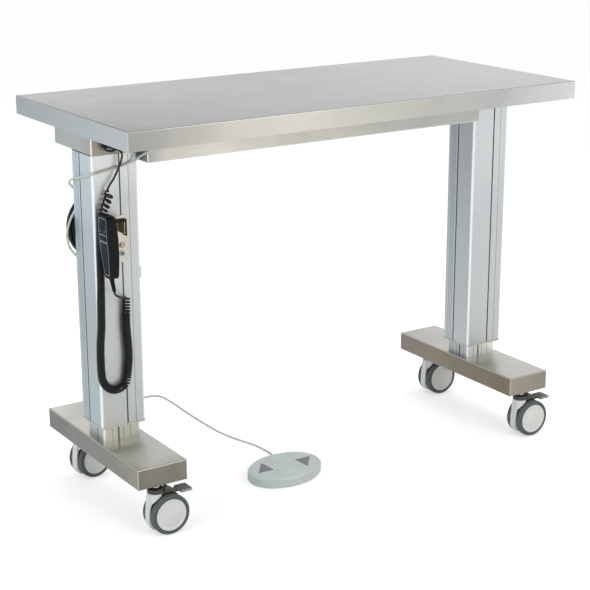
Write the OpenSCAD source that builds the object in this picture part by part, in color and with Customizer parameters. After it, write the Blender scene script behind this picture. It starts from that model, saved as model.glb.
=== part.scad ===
// Height adjustable instrument table on two lifting columns with four twin-wheel casters.
// Frame: X along the table to the right, Y to the back, Z up, origin on the floor below the top's middle.

/* [Tabletop] */
// Length of the tabletop
top_l = 1300; // [1100:10:1600]
// Depth of the tabletop
top_w = 600; // [520:10:800]
// Height of the folded edge
apron_h = 45; // [40:1:60]
// Thickness of the stainless sheet
sheet_t = 1.5; // [1:0.1:2.5]
// Bend radius of the sheet's upper edges
sheet_bend = 3; // [2:0.5:5]
// Thickness of the board under the sheet
core_t = 18; // [12:1:24]

/* [Lifting columns] */
// Distance between the two column axes
column_span = 1136; // [940:4:1200]
// How far the columns stand behind the middle of the top
column_y = -13; // [-30:1:30]
// Width of the outer tube along X
outer_w = 120; // [114:1:126]
// Depth of the outer tube along Y
outer_d = 108; // [102:1:114]
// Length of the outer tube
outer_len = 668; // [600:4:760]
// Wall of the outer tube
outer_wall = 5; // [4:0.5:5.5]
// Corner radius of the outer tube
outer_r = 8; // [6:1:12]
// Width of the inner tube along X
inner_w = 100; // [96:1:101]
// Depth of the inner tube along Y
inner_d = 86; // [82:1:88]
// Room between the inner tube's end and the head box when the table is down
top_room = 68; // [40:1:100]
// Wall of the inner tube
inner_wall = 4; // [3:0.5:5]
// Corner radius of the inner tube
inner_r = 7; // [5:1:10]
// Length of the inner tube that shows when the table is down
lift_gap = 40; // [25:1:80]
// Travel of the lift
stroke = 400; // [300:5:410]
// Width of the grooves in the tube faces
groove_w = 4; // [3:0.5:6]
// Depth of the grooves
groove_d = 2; // [1:0.5:2.5]
// Height of the guide bush's lip under the outer tube
bush_lip = 4; // [3:0.5:6]
// Length of the guide bush inside the outer tube
bush_len = 45; // [30:1:80]
// Radius of the lifting spindle
spindle_r = 9; // [7:0.5:11]
// Height of the spindle nut's flange
nut_flange = 12; // [8:1:20]
// Length of the spindle nut inside the inner tube
nut_len = 20; // [15:1:35]

/* [Head boxes] */
// Height of the head box below the apron
head_drop = 50; // [40:1:70]
// Length of the head box along Y
head_l = 198; // [190:1:240]
// How far the head box stands proud of the column's front
head_lip = 2; // [1:0.5:4]
// Wall of the head box
head_wall = 2; // [1.5:0.5:3]
// Width of the side cover's return on the front
head_return = 24; // [16:1:40]
// Step of the front panel behind the return
head_step = 3; // [1.5:0.5:5]
// Width of the gearbox over the spindle
gear_w = 70; // [60:1:80]
// Height of the gearbox
gear_h = 50; // [40:1:55]
// Diameter of the motor
motor_d = 54; // [46:1:56]
// Length of the motor behind the gearbox
motor_l = 96; // [80:1:100]

/* [Cross rail] */
// Gap between each end of the rail and its column
rail_gap = 9; // [6:1:20]
// Depth of the rail along Y
rail_d = 174; // [140:2:190]
// Height of the rail below the apron
rail_drop = 75; // [60:1:95]
// Wall of the rail
rail_wall = 2; // [1.5:0.5:3]
// Bend radius of the rail's lower edges
rail_bend = 4; // [2:0.5:6]
// Length of the control box
control_l = 240; // [180:5:300]
// Depth of the control box
control_d = 116; // [90:2:130]
// Height of the control box
control_h = 52; // [40:1:60]

/* [Feet] */
// Width of a foot
foot_w = 132; // [128:1:150]
// Length of a foot
foot_l = 494; // [460:2:580]
// Height of a foot
foot_h = 52; // [45:1:65]
// How far the foot's middle stands behind the middle of the top
foot_y = -14; // [-30:1:30]
// Edge radius of a foot
foot_r = 4; // [2:0.5:8]
// Wall of a foot
foot_wall = 3; // [2:0.5:4]

/* [Casters] */
// Height from the floor to the underside of a foot
caster_h = 127; // [124:1:135]
// Diameter of a caster wheel
wheel_d = 100; // [94:1:102]
// Width of one wheel
wheel_w = 17; // [14:0.5:18]
// Width over both wheels
caster_w = 56; // [54:1:64]
// Diameter of the pale hub
hub_d = 79; // [70:1:84]
// Distance from the swivel axis to the axle
trail = 28; // [24:1:32]
// Diameter of the swivel collar
collar_d = 38; // [34:1:42]
// Height of the swivel collar
collar_h = 11; // [8:1:14]
// Diameter of the stem
stem_d = 12; // [10:1:14]
// Radius of the axle
axle_r = 5; // [4:0.5:7]
// Distance of the front casters before the middle of the top
caster_front = 242; // [235:1:246]
// Distance of the back casters behind the middle of the top
caster_back = 160; // [140:1:200]
// How far the stems stand left of the foot's middle
stem_shift = 12; // [0:1:20]
// Swivel angle at which the back left caster rests
back_left_turn = 10; // [0:1:45]
// Length of the brake pedal from its pivot
pedal_l = 64; // [58:1:66]
// Width of the brake pedal's tread
pedal_w = 37; // [34:1:44]

/* [Handset] */
// Height of the handset
hand_h = 150; // [138:1:158]
// Width of the handset at its widest
hand_w = 49.5; // [46:0.5:52]
// Width of the handset's upper end
hand_top_w = 44; // [40:0.5:48]
// Width of the handset where its lower half begins to taper faster
hand_waist_w = 44; // [40:0.5:46]
// Width of the handset's lower end
hand_low_w = 32; // [28:0.5:36]
// Distance from the column's front to the handset's middle
hand_off = 45.5; // [44:0.5:52]
// Depth of the handset's front shell
hand_front_d = 13; // [11:0.5:15]
// Depth of the handset's back shell at its fullest
hand_back_d = 16.5; // [14:0.5:17]
// How far the handset's front falls back towards its lower end
hand_fall = 8; // [5:0.5:8]
// Wall of the handset's shells
hand_wall = 2.5; // [2:0.1:3]
// Width of a key
key_w = 16; // [12:0.5:16]
// Height of a key
key_h = 20; // [14:0.5:24]
// How far a key stands proud
key_rise = 0.8; // [0.5:0.1:1.5]
// Thickness of the bracket plate
bracket_t = 2; // [1.5:0.5:3]
// Width of the bracket plate
bracket_w = 38; // [36:1:48]
// Height of the bracket's tab
tab_h = 30; // [22:1:36]
// Length of the bracket's tab
tab_l = 35; // [28:1:38]
// Thickness of the handset's hook
hook_t = 6; // [4:0.5:8]

/* [Foot switch] */
// Length of the foot switch
switch_l = 216; // [180:2:230]
// Width of the foot switch
switch_w = 162; // [140:2:180]
// Height of the foot switch
switch_h = 26; // [20:0.5:30]
// Width of the bar between the pads
switch_bar = 56; // [40:1:70]
// Width of the rim round the pads
switch_rim = 9; // [7:0.5:14]
// Thickness of a pad
pad_t = 5.5; // [4:0.5:7]
// Travel of a pad
pad_travel = 2.5; // [1.5:0.1:3]
// Angle of the bar between the pads against the foot switch's width
switch_bar_turn = -27; // [-35:1:0]
// Angle of the foot switch on the floor
switch_turn = 12; // [-10:1:15]

/* [Cords] */
// Diameter of the curly cord's wire
curl_wire = 5; // [4:0.5:5.5]
// Radius of a curl at the middle of the wire
curl_r = 6; // [5:0.25:6.5]
// Number of curls in the curly cord
curl_count = 70; // [30:1:80]
// Diameter of the foot switch cord
foot_cord_d = 5.5; // [4:0.5:6]
// Diameter of the mains cord
mains_d = 8; // [6:0.5:8]
// Radius of the mains coil's outer turn
coil_r = 86.5; // [84:0.5:88]
// Turns wound inwards, and again outwards, in the mains coil
coil_turns = 2.75; // [1.75:1:2.75]
// Diameter of a motor cable
motor_cable_d = 5; // [4:0.5:6]
// Length of a mains plug's body
plug_l = 34; // [28:1:40]

/* [Clearances] */
// Gap of a shaft in its bore
shaft_fit = 0.1; // [0.05:0.01:0.3]
// Gap between pieces that slide or turn past each other
run_gap = 0.4; // [0.3:0.05:0.8]
// Gap between a tyre and its hub
tyre_fit = 0.1; // [0.05:0.01:0.2]

/* [Hidden] */

$fn = 64;

// Left and right sides of the table
LEFT = -1;
RIGHT = 1;

// Heights
foot_top = caster_h + foot_h;
outer_bottom = foot_top + lift_gap;
inner_len = outer_len + lift_gap - top_room;
head_bottom = outer_bottom + outer_len;
apron_bottom = head_bottom + head_drop;
table_h = apron_bottom + apron_h;
core_bottom = table_h - sheet_t - core_t;
inner_top = foot_top + inner_len;
rail_bottom = apron_bottom - rail_drop;

// Places
column_x = column_span / 2;
column_front = column_y - outer_d / 2;
column_rear = column_y + outer_d / 2;
rail_l = column_span - outer_w - 2 * rail_gap;
rail_front = column_y - rail_d / 2;
head_front = column_front - head_lip;
wheel_r = wheel_d / 2;
nut_top = inner_top + nut_flange;
spindle_stop_h = 4;
spindle_stop_r = spindle_r + 4;
spindle_stop_gap = 11;
spindle_bottom = inner_top - nut_len - stroke - spindle_stop_h - spindle_stop_gap;
spindle_collar_r = spindle_r + 5;
spindle_collar_h = 5;
spindle_collar_clear = 2;
spindle_reach = 28;
spindle_top = head_bottom + head_wall + spindle_reach;

// Grooves and fine lines of the tubes, from the middle of a face
front_groove = 11;
side_groove = 9;
front_lines = [34];
side_lines = [20, 27, 34];
line_w = 1;
line_d = 0.6;
inner_groove = -10;
inner_lines = [-26, 3, 22];
corner_step = 2;
press_fit = 0.05;

// Handset's places, from the column's axis and front
hand_x = -59;
hand_drop = 281;
hand_z = head_bottom - hand_drop;
hand_split = -column_x + hand_x + hand_front_d;
hand_y = column_front - hand_off;
hand_top = hand_z + hand_h;
hand_corner = 5;
hand_wide_up = 94;
hand_waist_up = 54;
hand_fall_up = 99;
hand_belly_r = 975;
hand_belly_up = 29;
key_up = 127;
key_top_z = hand_z + key_up;
key_pitch = 20;
key_flange = 1.2;
key_flange_t = 1.2;
relief_l = 45;
relief_lean = 10.5;
relief_r = 5.5;
relief_tip_r = 3.6;
relief_in = 3;
relief_up = 9.5;
hook_w = 16;
hook_lip_t = 3;
hook_lip_h = 40;
hook_start = 6;
hook_rest_gap = 0.3;
hook_over = 2;

// Bracket's places, from the column's axis
bracket_x = front_groove;
tab_x = 1;
tab_up = 127;
tab_top = hand_z + tab_up;
bracket_over = 7;
bracket_top = tab_top + bracket_over;
bracket_under = 88;
bracket_low = tab_top - bracket_under;
bracket_hole_r = 3;
bracket_holes = [23, 3];
screw_head_r = 7;
screw_head_h = 3.5;

// Foot switch's middle on the floor
switch_at = [-133.5, -113.5];
switch_cord_at = [-116, -26, 10];
switch_gland_r = 4.5;

// Glands of the cords: place and the way each one points
gland_r = 8;
gland_base = 3;
gland_l = 10;
gland_neck = 2.5;
hand_gland_left = 24;
hand_gland_up = 23;
foot_gland_in = 11;
foot_gland_up = 46;
hand_gland_at = [-column_x - hand_gland_left, head_front + head_step,
                 head_bottom + hand_gland_up];
foot_gland_at = [-rail_l / 2 + foot_gland_in, rail_front, rail_bottom + foot_gland_up];
mains_gland_l = 14;

// Mains coil on its hook behind the left column
coil_shift = 16;
coil_back = 12.5;
coil_drop = 195;
coil_at = [-column_x + coil_shift, column_rear + coil_back, head_bottom - coil_drop];
mains_gland_at = [coil_at[0] + coil_r, coil_at[1], rail_bottom];
coil_gap = 0.6;
coil_step = mains_d + coil_gap;
coil_layer = mains_d + coil_gap;
coil_rings = 24;
coil_climb = 0.5;
coil_inner = coil_r - coil_step * coil_turns;
coil_tail = [[0, 0, -30], [0, 0, -62], [-1, 0, -84], [-1, 0, -92]];
hook_arm_w = 14;
hook_arm_t = 3;
hook_plate = [40, 2, 60];
hook_reach = 36;
hook_end_h = 18;
hook_gap = 0.9;
hook_plate_under = 20;
arm_top = coil_at[2] + sqrt(pow(coil_inner - mains_d / 2, 2) - pow(hook_arm_w / 2, 2)) - hook_gap;

// Handset cord from the head box, down behind the handset, round and up to its lower end
hand_route_top = [
    [-592, -76, 910], [-592, -84, 910], [-587, -91, 908], [-574, -92, 903], [-563, -89, 896],
    [-557, -85, 886], [-560, -82, 868], [-568, -80, 850], [-577, -79, 833], [-590, -78, 816],
    [-599, -77, 805]
];
hand_route_curls = [
    [-599, -77, 805], [-592, -77, 797], [-596, -77, 784], [-601, -77, 772], [-605, -77, 761],
    [-611, -77, 744], [-616, -77, 715], [-619, -77, 670], [-620, -77, 590], [-622, -77, 540],
    [-624, -77, 475], [-628, -77, 435], [-629, -77, 384], [-627, -77, 350], [-620, -77, 333],
    [-610, -77, 322], [-597, -77, 316], [-584, -77, 316], [-572, -77, 321], [-562, -77, 335],
    [-555, -77, 384], [-555, -77, 422], [-558, -77, 470], [-557, -77, 510], [-556, -77, 524]
];
hand_route_end = [
    [-556, -77, 524], [-553.5, -79, 531], [-554.5, -85, 538], [-562, -92, 544], [-578, -102, 550],
    [-590, -109, 556], [-597.5, -112, 561], [-601.7, -112.5, 565.2], [-602.8, -112.5, 571.1]
];

// Foot switch cord from the rail, round the left column and over the coil
foot_route_top = [
    [-488, -110, 908], [-488, -116, 908], [-493, -120, 903], [-500, -115, 895], [-505, -104, 888],
    [-509, -90, 881], [-518, -78, 870], [-532, -72, 863], [-551, -71, 858], [-575, -71, 854],
    [-600, -71, 850], [-620, -71, 847], [-629, -68, 846], [-632, -59, 843], [-632, -24, 833],
    [-632, 10, 824], [-632, 30, 818], [-633, 42, 812], [-632, 49, 806], [-627, 51, 799],
    [-618, 48, 788], [-612, 45, 772], [-613, 45, 752], [-623, 45, 736], [-635, 45, 716], [-643, 45, 694],
    [-645, 45, 672], [-640, 45, 650], [-628, 45, 632], [-612, 45, 616], [-605, 45, 606], [-605, 45, 600]
];
foot_route_drop = [
    [-605, 45, 599.7], [-605, 45, 590], [-604, 45, 500], [-602, 45, 410], [-598, 46, 340],
    [-589, 49, 286], [-573, 53, 248], [-550, 57, 226], [-523, 59, 217], [-495, 60, 216],
    [-468, 60, 219], [-443, 60, 222], [-420, 60, 221], [-395, 60, 213], [-366, 60, 192],
    [-337, 60, 167], [-305, 60, 140], [-270, 60, 112], [-235, 60, 85], [-184, 61, 53],
    [-145, 61, 32], [-115, 60, 16], [-99, 50, 6], [-94, 34, 3], [-94, 16, 3], [-98, 2, 4],
    [-107, -7, 8], [-114, -13, 10], [-116, -18, 10], [-116, -26, 10]
];

// Left motor cable from the head box to the end of the rail, with its heights above the head box's
// underside; the right one mirrors it
motor_route = [
    [-601, head_front + head_step, 31], [-601, -74, 31], [-601, -81, 24], [-596, -83, 14],
    [-585, -82, 11], [-571, -81, 13], [-555, -80, 21], [-532, -81, 31], [-512, -83, 38],
    [-rail_l / 2, -83, 38]
];

// Colours
STEEL = [0.70, 0.69, 0.66];
APRON_STEEL = [0.72, 0.73, 0.72];
ALUMINIUM = [0.78, 0.80, 0.82];
ZINC = [0.80, 0.82, 0.85];
CREAM = [0.90, 0.90, 0.87];
TYRE_GREY = [0.30, 0.32, 0.33];
BLACK = [0.09, 0.09, 0.10];
DARK = [0.17, 0.18, 0.20];
BEIGE = [0.78, 0.76, 0.66];
SWITCH_GREY = [0.72, 0.77, 0.78];
CORD_GREY = [0.72, 0.71, 0.67];
BOARD = [0.62, 0.52, 0.38];

// Flat shapes

module rounded(w, d, r) {
    square([w - 2 * r, d], center = true);
    square([w, d - 2 * r], center = true);
    for (x = [-1, 1], y = [-1, 1])
        translate([x * (w / 2 - r), y * (d / 2 - r)]) circle(r);
}

// An oval of four arcs
module oval(l, w) {
    end_r = 0.4 * w;
    reach = (l - 2 * end_r) / 2;
    side_r = (pow(reach, 2) + pow(w / 2, 2) - pow(end_r, 2)) / (2 * (w / 2 - end_r));
    touch = reach * side_r / (side_r - end_r);
    intersection() {
        translate([0, side_r - w / 2]) circle(side_r, $fn = 180);
        translate([0, w / 2 - side_r]) circle(side_r, $fn = 180);
        square([2 * touch, w + 1], center = true);
    }
    for (side = [-1, 1])
        translate([side * reach, 0]) circle(end_r);
}

// A box centred on X and Y whose edges are all rounded
module soft_box(size, r) {
    translate([0, 0, size[2] / 2])
        intersection() {
            linear_extrude(size[2], center = true) rounded(size[0], size[1], r);
            rotate([90, 0, 0]) linear_extrude(size[1], center = true) rounded(size[0], size[2], r);
            rotate([90, 0, 90]) linear_extrude(size[0], center = true) rounded(size[1], size[2], r);
        }
}

module block(size) {
    translate([-size[0] / 2, -size[1] / 2, 0]) cube(size);
}

module at_column(side) {
    translate([side * column_x, column_y, 0]) children();
}

// Cords

function unit(v) = v / norm(v);

function curve_point(a, b, c, d, t) =
    0.5 * (2 * b + (c - a) * t + (2 * a - 5 * b + 4 * c - d) * t * t
    + (3 * b - a - 3 * c + d) * t * t * t);

// Points on a smooth curve through a route, no further apart than step
function smooth_route(route, step) = [
    for (i = [0:len(route) - 2])
        let (before = i == 0 ? 2 * route[0] - route[1] : route[i - 1],
             last = len(route) - 1,
             after = i + 2 > last ? 2 * route[last] - route[last - 1] : route[i + 2],
             parts = ceil(norm(route[i + 1] - route[i]) / step))
            for (k = [0:parts - 1])
                curve_point(before, route[i], route[i + 1], after, k / parts),
    route[len(route) - 1]
];

function headings(path) = [
    for (i = [0:len(path) - 1])
        unit(path[min(i + 1, len(path) - 1)] - path[max(i - 1, 0)])
];

function square_to(v, heading) = unit(v - (v * heading) * heading);

function first_side(heading) =
    abs(heading[1]) < 0.9 ? square_to([0, 1, 0], heading) : square_to([1, 0, 0], heading);

// Sideways directions carried along a path without twist
function carried_sides(heading) = [
    for (i = 0, side = first_side(heading[0]);
         i < len(heading);
         i = i + 1, side = i < len(heading) ? square_to(side, heading[i]) : side)
        side
];

// One tube along a path
module tube(path, d, sides) {
    heading = headings(path);
    across = carried_sides(heading);
    count = len(path);
    points = [
        for (i = [0:count - 1], k = [0:sides - 1])
            let (a = 360 * k / sides)
                path[i] + d / 2 * (cos(a) * across[i] + sin(a) * cross(heading[i], across[i]))
    ];
    walls = [
        for (i = [0:count - 2], k = [0:sides - 1])
            let (a = i * sides + k,
                 b = i * sides + (k + 1) % sides)
                each [[a, a + sides, b], [b, a + sides, b + sides]]
    ];
    first_cap = [for (k = [1:sides - 2]) [0, k, k + 1]];
    last = (count - 1) * sides;
    last_cap = [for (k = [1:sides - 2]) [last, last + k + 1, last + k]];
    polyhedron(points, concat(walls, first_cap, last_cap), convexity = 10);
}

function lengths_along(path) = [
    for (i = 0, run = 0;
         i < len(path);
         run = run + (i + 1 < len(path) ? norm(path[i + 1] - path[i]) : 0), i = i + 1)
        run
];

// Least gap between stretches of a tube that lie more than skip rings apart
function least_gap(path, d, skip) =
    let (last = len(path) - 1)
        min([for (i = [0:last - skip]) min([for (j = [i + skip:last]) norm(path[i] - path[j])])]) - d;

// A curly stretch wound round a route; its radius grows over the first curl and falls over the last
function curls(route, r, count) =
    let (path = smooth_route(route, 6),
         run = lengths_along(path),
         total = run[len(run) - 1],
         xs = [for (i = [0:len(path) - 1]) [run[i], path[i][0]]],
         ys = [for (i = [0:len(path) - 1]) [run[i], path[i][1]]],
         zs = [for (i = [0:len(path) - 1]) [run[i], path[i][2]]],
         rings = 8 * count,
         nudge = 1)
        [for (i = [0:rings])
            let (s = total * i / rings,
                 lo = max(s - nudge, 0),
                 hi = min(s + nudge, total),
                 middle = [lookup(s, xs), lookup(s, ys), lookup(s, zs)],
                 heading = unit([lookup(hi, xs) - lookup(lo, xs), lookup(hi, ys) - lookup(lo, ys),
                                 lookup(hi, zs) - lookup(lo, zs)]),
                 across = square_to([0, 1, 0], heading),
                 grow = min(1, i / 8, (rings - i) / 8),
                 a = 360 * i / 8)
                middle + r * grow * (cos(a) * cross(heading, across) + sin(a) * across)];

// Turns of the mains coil, from its start at the right side of the coil, clockwise
function coil_path() =
    let (total = 2 * coil_turns + coil_climb,
         rings = coil_rings * total)
        [for (i = [0:rings])
            let (turn = i / coil_rings,
                 inmost = coil_turns + coil_climb / 2,
                 inward = min(turn, inmost),
                 outward = max(0, turn - inmost),
                 climb = min(1, max(0, turn - coil_turns) / coil_climb),
                 r = coil_r - coil_step * inward + coil_step * outward,
                 a = -360 * turn)
                coil_at + [r * cos(a), coil_layer * climb, r * sin(a)]];

// Tabletop

module tabletop_sheet() {
    below = 2 * sheet_bend;
    color(APRON_STEEL)
        difference() {
            translate([0, 0, apron_bottom - below])
                soft_box([top_l, top_w, apron_h + below], sheet_bend);
            translate([0, 0, apron_bottom - below - 1])
                block([top_l + 1, top_w + 1, below + 1]);
            translate([0, 0, apron_bottom - 1])
                block([top_l - 2 * sheet_t, top_w - 2 * sheet_t, apron_h + 1 - sheet_t]);
        }
}

module tabletop_core() {
    color(BOARD)
        translate([0, 0, core_bottom])
            block([top_l - 2 * sheet_t, top_w - 2 * sheet_t, core_t]);
}

// Cross rail with its control box

module cross_rail() {
    above = 2 * rail_bend;
    rail_h = core_bottom - rail_bottom;
    color(APRON_STEEL)
        translate([0, column_y, rail_bottom])
            difference() {
                soft_box([rail_l, rail_d, rail_h + above], rail_bend);
                translate([0, 0, rail_h]) block([rail_l + 1, rail_d + 1, above + 1]);
                translate([0, 0, rail_wall])
                    block([rail_l - 2 * rail_wall, rail_d - 2 * rail_wall, rail_h + above]);
            }
}

module control_box() {
    edge_r = 3;
    color(BLACK)
        translate([-rail_l / 4, column_y, rail_bottom + rail_wall])
            soft_box([control_l, control_d, control_h], edge_r);
}

// Head boxes over the columns

module head_box(side) {
    head_h = core_bottom - head_bottom;
    head_mid = head_front - column_y + head_l / 2;
    corner = 5;
    above = 2 * corner;
    panel_w = outer_w - head_return;
    color(APRON_STEEL)
        at_column(side)
            translate([0, 0, head_bottom])
                difference() {
                    translate([0, head_mid, 0]) soft_box([outer_w, head_l, head_h + above], corner);
                    translate([0, head_mid, head_h]) block([outer_w + 1, head_l + 1, above + 1]);
                    translate([0, head_mid + head_step / 2, head_wall])
                        block([outer_w - 2 * head_wall, head_l - 2 * head_wall - head_step, head_h + above]);
                    translate([-side * head_return / 2, head_front - column_y, -1])
                        block([panel_w + 0.01, 2 * head_step, head_h + above]);
                    translate([0, 0, -1])
                        cylinder(h = head_wall + 2, r = spindle_collar_r + spindle_collar_clear);
                }
}

module lift_motors() {
    floor_z = head_bottom + head_wall;
    edge_r = 4;
    motor_up = 3;
    color(DARK)
        for (side = [LEFT, RIGHT])
            at_column(side)
                difference() {
                    translate([0, 0, floor_z])
                        union() {
                            soft_box([gear_w, gear_w, gear_h], edge_r);
                            translate([0, gear_w / 2 - 1, gear_h / 2 + motor_up])
                                rotate([-90, 0, 0]) cylinder(h = motor_l + 1, d = motor_d);
                        }
                    translate([0, 0, floor_z - 1])
                        cylinder(h = spindle_top - floor_z + 3, r = spindle_r + shaft_fit);
                }
}

// Columns

module face_grooves(w, d, front_at, side_at, lines_x, lines_y) {
    for (sign = [-1, 1]) {
        translate([front_at, sign * d / 2]) square([groove_w, 2 * groove_d], center = true);
        translate([sign * w / 2, side_at]) square([2 * groove_d, groove_w], center = true);
        for (x = lines_x) translate([x, sign * d / 2]) square([line_w, 2 * line_d], center = true);
        for (y = lines_y) translate([sign * w / 2, y]) square([2 * line_d, line_w], center = true);
    }
}

module column_tube(w, d, r, wall, front_at, side_at, lines_x, lines_y) {
    difference() {
        rounded(w, d, r);
        rounded(w - 2 * wall, d - 2 * wall, r - corner_step);
        face_grooves(w, d, front_at, side_at, lines_x, lines_y);
    }
}

module outer_column(side) {
    color(ALUMINIUM)
        at_column(side)
            translate([0, 0, outer_bottom])
                linear_extrude(outer_len)
                    column_tube(outer_w, outer_d, outer_r, outer_wall, front_groove, side_groove,
                                front_lines, side_lines);
}

module inner_column(side) {
    color(ALUMINIUM)
        at_column(side)
            translate([0, 0, foot_top])
                linear_extrude(inner_len)
                    column_tube(inner_w, inner_d, inner_r, inner_wall, inner_groove, inner_groove,
                                inner_lines, inner_lines);
}

// Guide bush at the lower end of each outer tube, with the lip that shows
module column_bushes() {
    proud = 1.5;
    hole_w = inner_w + 2 * run_gap;
    hole_d = inner_d + 2 * run_gap;
    color(BEIGE)
        for (side = [LEFT, RIGHT])
            at_column(side)
                translate([0, 0, outer_bottom - bush_lip])
                    difference() {
                        union() {
                            linear_extrude(bush_lip)
                                rounded(outer_w + 2 * proud, outer_d + 2 * proud, outer_r + proud);
                            linear_extrude(bush_lip + bush_len)
                                rounded(outer_w - 2 * outer_wall - 2 * press_fit,
                                        outer_d - 2 * outer_wall - 2 * press_fit,
                                        outer_r - corner_step);
                        }
                        translate([0, 0, -1])
                            linear_extrude(bush_lip + bush_len + 2)
                                rounded(hole_w, hole_d, inner_r);
                    }
}

module spindle(side) {
    color(ZINC)
        at_column(side) {
            translate([0, 0, spindle_bottom]) cylinder(h = spindle_top - spindle_bottom, r = spindle_r);
            translate([0, 0, spindle_bottom]) cylinder(h = spindle_stop_h, r = spindle_stop_r);
            translate([0, 0, head_bottom - spindle_collar_h])
                cylinder(h = spindle_collar_h + head_wall - run_gap, r = spindle_collar_r);
        }
}

// Nut block: stands on the inner tube and glides inside the outer tube
module spindle_nut(side) {
    glide_w = outer_w - 2 * outer_wall - 2 * run_gap;
    glide_d = outer_d - 2 * outer_wall - 2 * run_gap;
    slack = 8;
    color(CREAM)
        at_column(side)
            difference() {
                union() {
                    translate([0, 0, inner_top])
                        linear_extrude(nut_flange) rounded(glide_w, glide_d, outer_r - corner_step);
                    translate([0, 0, inner_top - nut_len])
                        block([
                            inner_w - 2 * inner_wall - slack, inner_d - 2 * inner_wall - slack, nut_len + 1
                        ]);
                }
                translate([0, 0, inner_top - nut_len - 1])
                    cylinder(h = nut_len + nut_flange + 2, r = spindle_r + shaft_fit);
            }
}

// Feet

module at_stem(front, side) {
    y = front ? -caster_front : caster_back;
    translate([side * column_x - stem_shift, y, 0]) children();
}

boss_r = 14;
boss_h = 22;
drain_r = 4;
drain_front = 100;

module foot_beam(side) {
    inside = [foot_w - 2 * foot_wall, foot_l - 2 * foot_wall, foot_h - 2 * foot_wall];
    color(STEEL)
        difference() {
            translate([side * column_x, foot_y, caster_h]) soft_box([foot_w, foot_l, foot_h], foot_r);
            difference() {
                translate([side * column_x, foot_y, caster_h + foot_wall]) block(inside);
                for (front = [true, false])
                    at_stem(front, side) translate([0, 0, caster_h]) cylinder(h = boss_h, r = boss_r);
            }
            for (front = [true, false])
                at_stem(front, side)
                    translate([0, 0, caster_h - 1])
                        cylinder(h = boss_h - 1, r = stem_d / 2 + shaft_fit);
            translate([side * column_x, foot_y - drain_front, caster_h - 1])
                cylinder(h = foot_wall + 2, r = drain_r);
        }
}

stem_flange_r = 11;
stem_flange_h = 6;
stem_reach = 26;
stem_low = caster_h - stem_reach;
stem_blind = 4;

module caster_stems(side) {
    color(ZINC)
        for (front = [true, false])
            at_stem(front, side) {
                translate([0, 0, stem_low]) cylinder(h = stem_reach + boss_h - stem_blind, d = stem_d);
                translate([0, 0, caster_h - stem_flange_h]) cylinder(h = stem_flange_h, r = stem_flange_r);
            }
}

// Casters: each is drawn round its own swivel axis, with the wheels trailing towards +X

stem_shows = 9;
neck_top = caster_h - stem_shows;
collar_low = neck_top - collar_h;
collar_proud = 1;
neck_r = collar_d / 2 - collar_proud;
wheel_gap = 1;
body_w = caster_w - 2 * wheel_w - 2 * wheel_gap;
body_inset = 8;
body_r = wheel_r - body_inset;
body_low = 14;
front_reach = 26;
front_full = [31, 56];
front_top_reach = 20.5;
front_foot = [-12, 17];
ear_reach = 7;
wheel_clear = 1.5;
axle_end = 4;
pivot_lead = 2;
pivot_x = trail - pivot_lead;
pivot_up = 6;
pivot_z = wheel_r + body_r + pivot_up;
pivot_r = 2.5;
barrel_r = 5.5;
slot_reach = 8;
arm_w = 13;
arm_t = 5;

module at_caster(front, side) {
    turn = !front && side == LEFT ? back_left_turn : 0;
    at_stem(front, side) rotate([0, 0, turn]) children();
}

// A solid across the width between the wheels
module across_caster(width) {
    translate([0, width / 2, 0]) rotate([90, 0, 0]) linear_extrude(width) children();
}

// The plate between the wheels, seen from the side
module body_outline(has_brake) {
    difference() {
        translate([trail, wheel_r]) circle(body_r);
        translate([trail - body_r, 0]) square([2 * body_r, body_low]);
    }
    polygon([
        [-front_top_reach, collar_low], [-front_reach, front_full[1]], [-front_reach, front_full[0]],
        front_foot, [0, body_low], [trail, body_low], [trail, wheel_r], [neck_r, wheel_r],
        [neck_r, collar_low]
    ]);
    if (has_brake)
        translate([pivot_x - ear_reach, wheel_r])
            square([2 * ear_reach, pivot_z + ear_reach - 1 - wheel_r]);
}

module housing(front, side) {
    has_brake = front;
    color(CREAM)
        at_caster(front, side)
            difference() {
                union() {
                    translate([0, 0, collar_low]) cylinder(h = collar_h, d = collar_d);
                    difference() {
                        translate([0, 0, wheel_r]) cylinder(h = collar_low - wheel_r, r = neck_r);
                        for (sign = [-1, 1])
                            translate([trail, sign * (body_w / 2 + wheel_w), wheel_r])
                                rotate([90, 0, 0])
                                    cylinder(h = 2 * wheel_w, r = wheel_r + wheel_clear, center = true);
                    }
                    across_caster(body_w) body_outline(has_brake);
                    translate([trail, 0, wheel_r])
                        rotate([90, 0, 0]) cylinder(h = caster_w - 2 * axle_end, r = axle_r, center = true);
                }
                translate([0, 0, stem_low - 1])
                    cylinder(h = neck_top - stem_low + 2, r = stem_d / 2 + shaft_fit);
                if (has_brake) {
                    translate([pivot_x - slot_reach, -arm_w / 2 - run_gap, pivot_z - slot_reach])
                        cube([trail + slot_reach, arm_w + 2 * run_gap, collar_low - pivot_z + slot_reach]);
                    translate([pivot_x, 0, pivot_z])
                        rotate([90, 0, 0])
                            cylinder(h = body_w + 2, r = pivot_r + shaft_fit, center = true);
                }
            }
}

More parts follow.
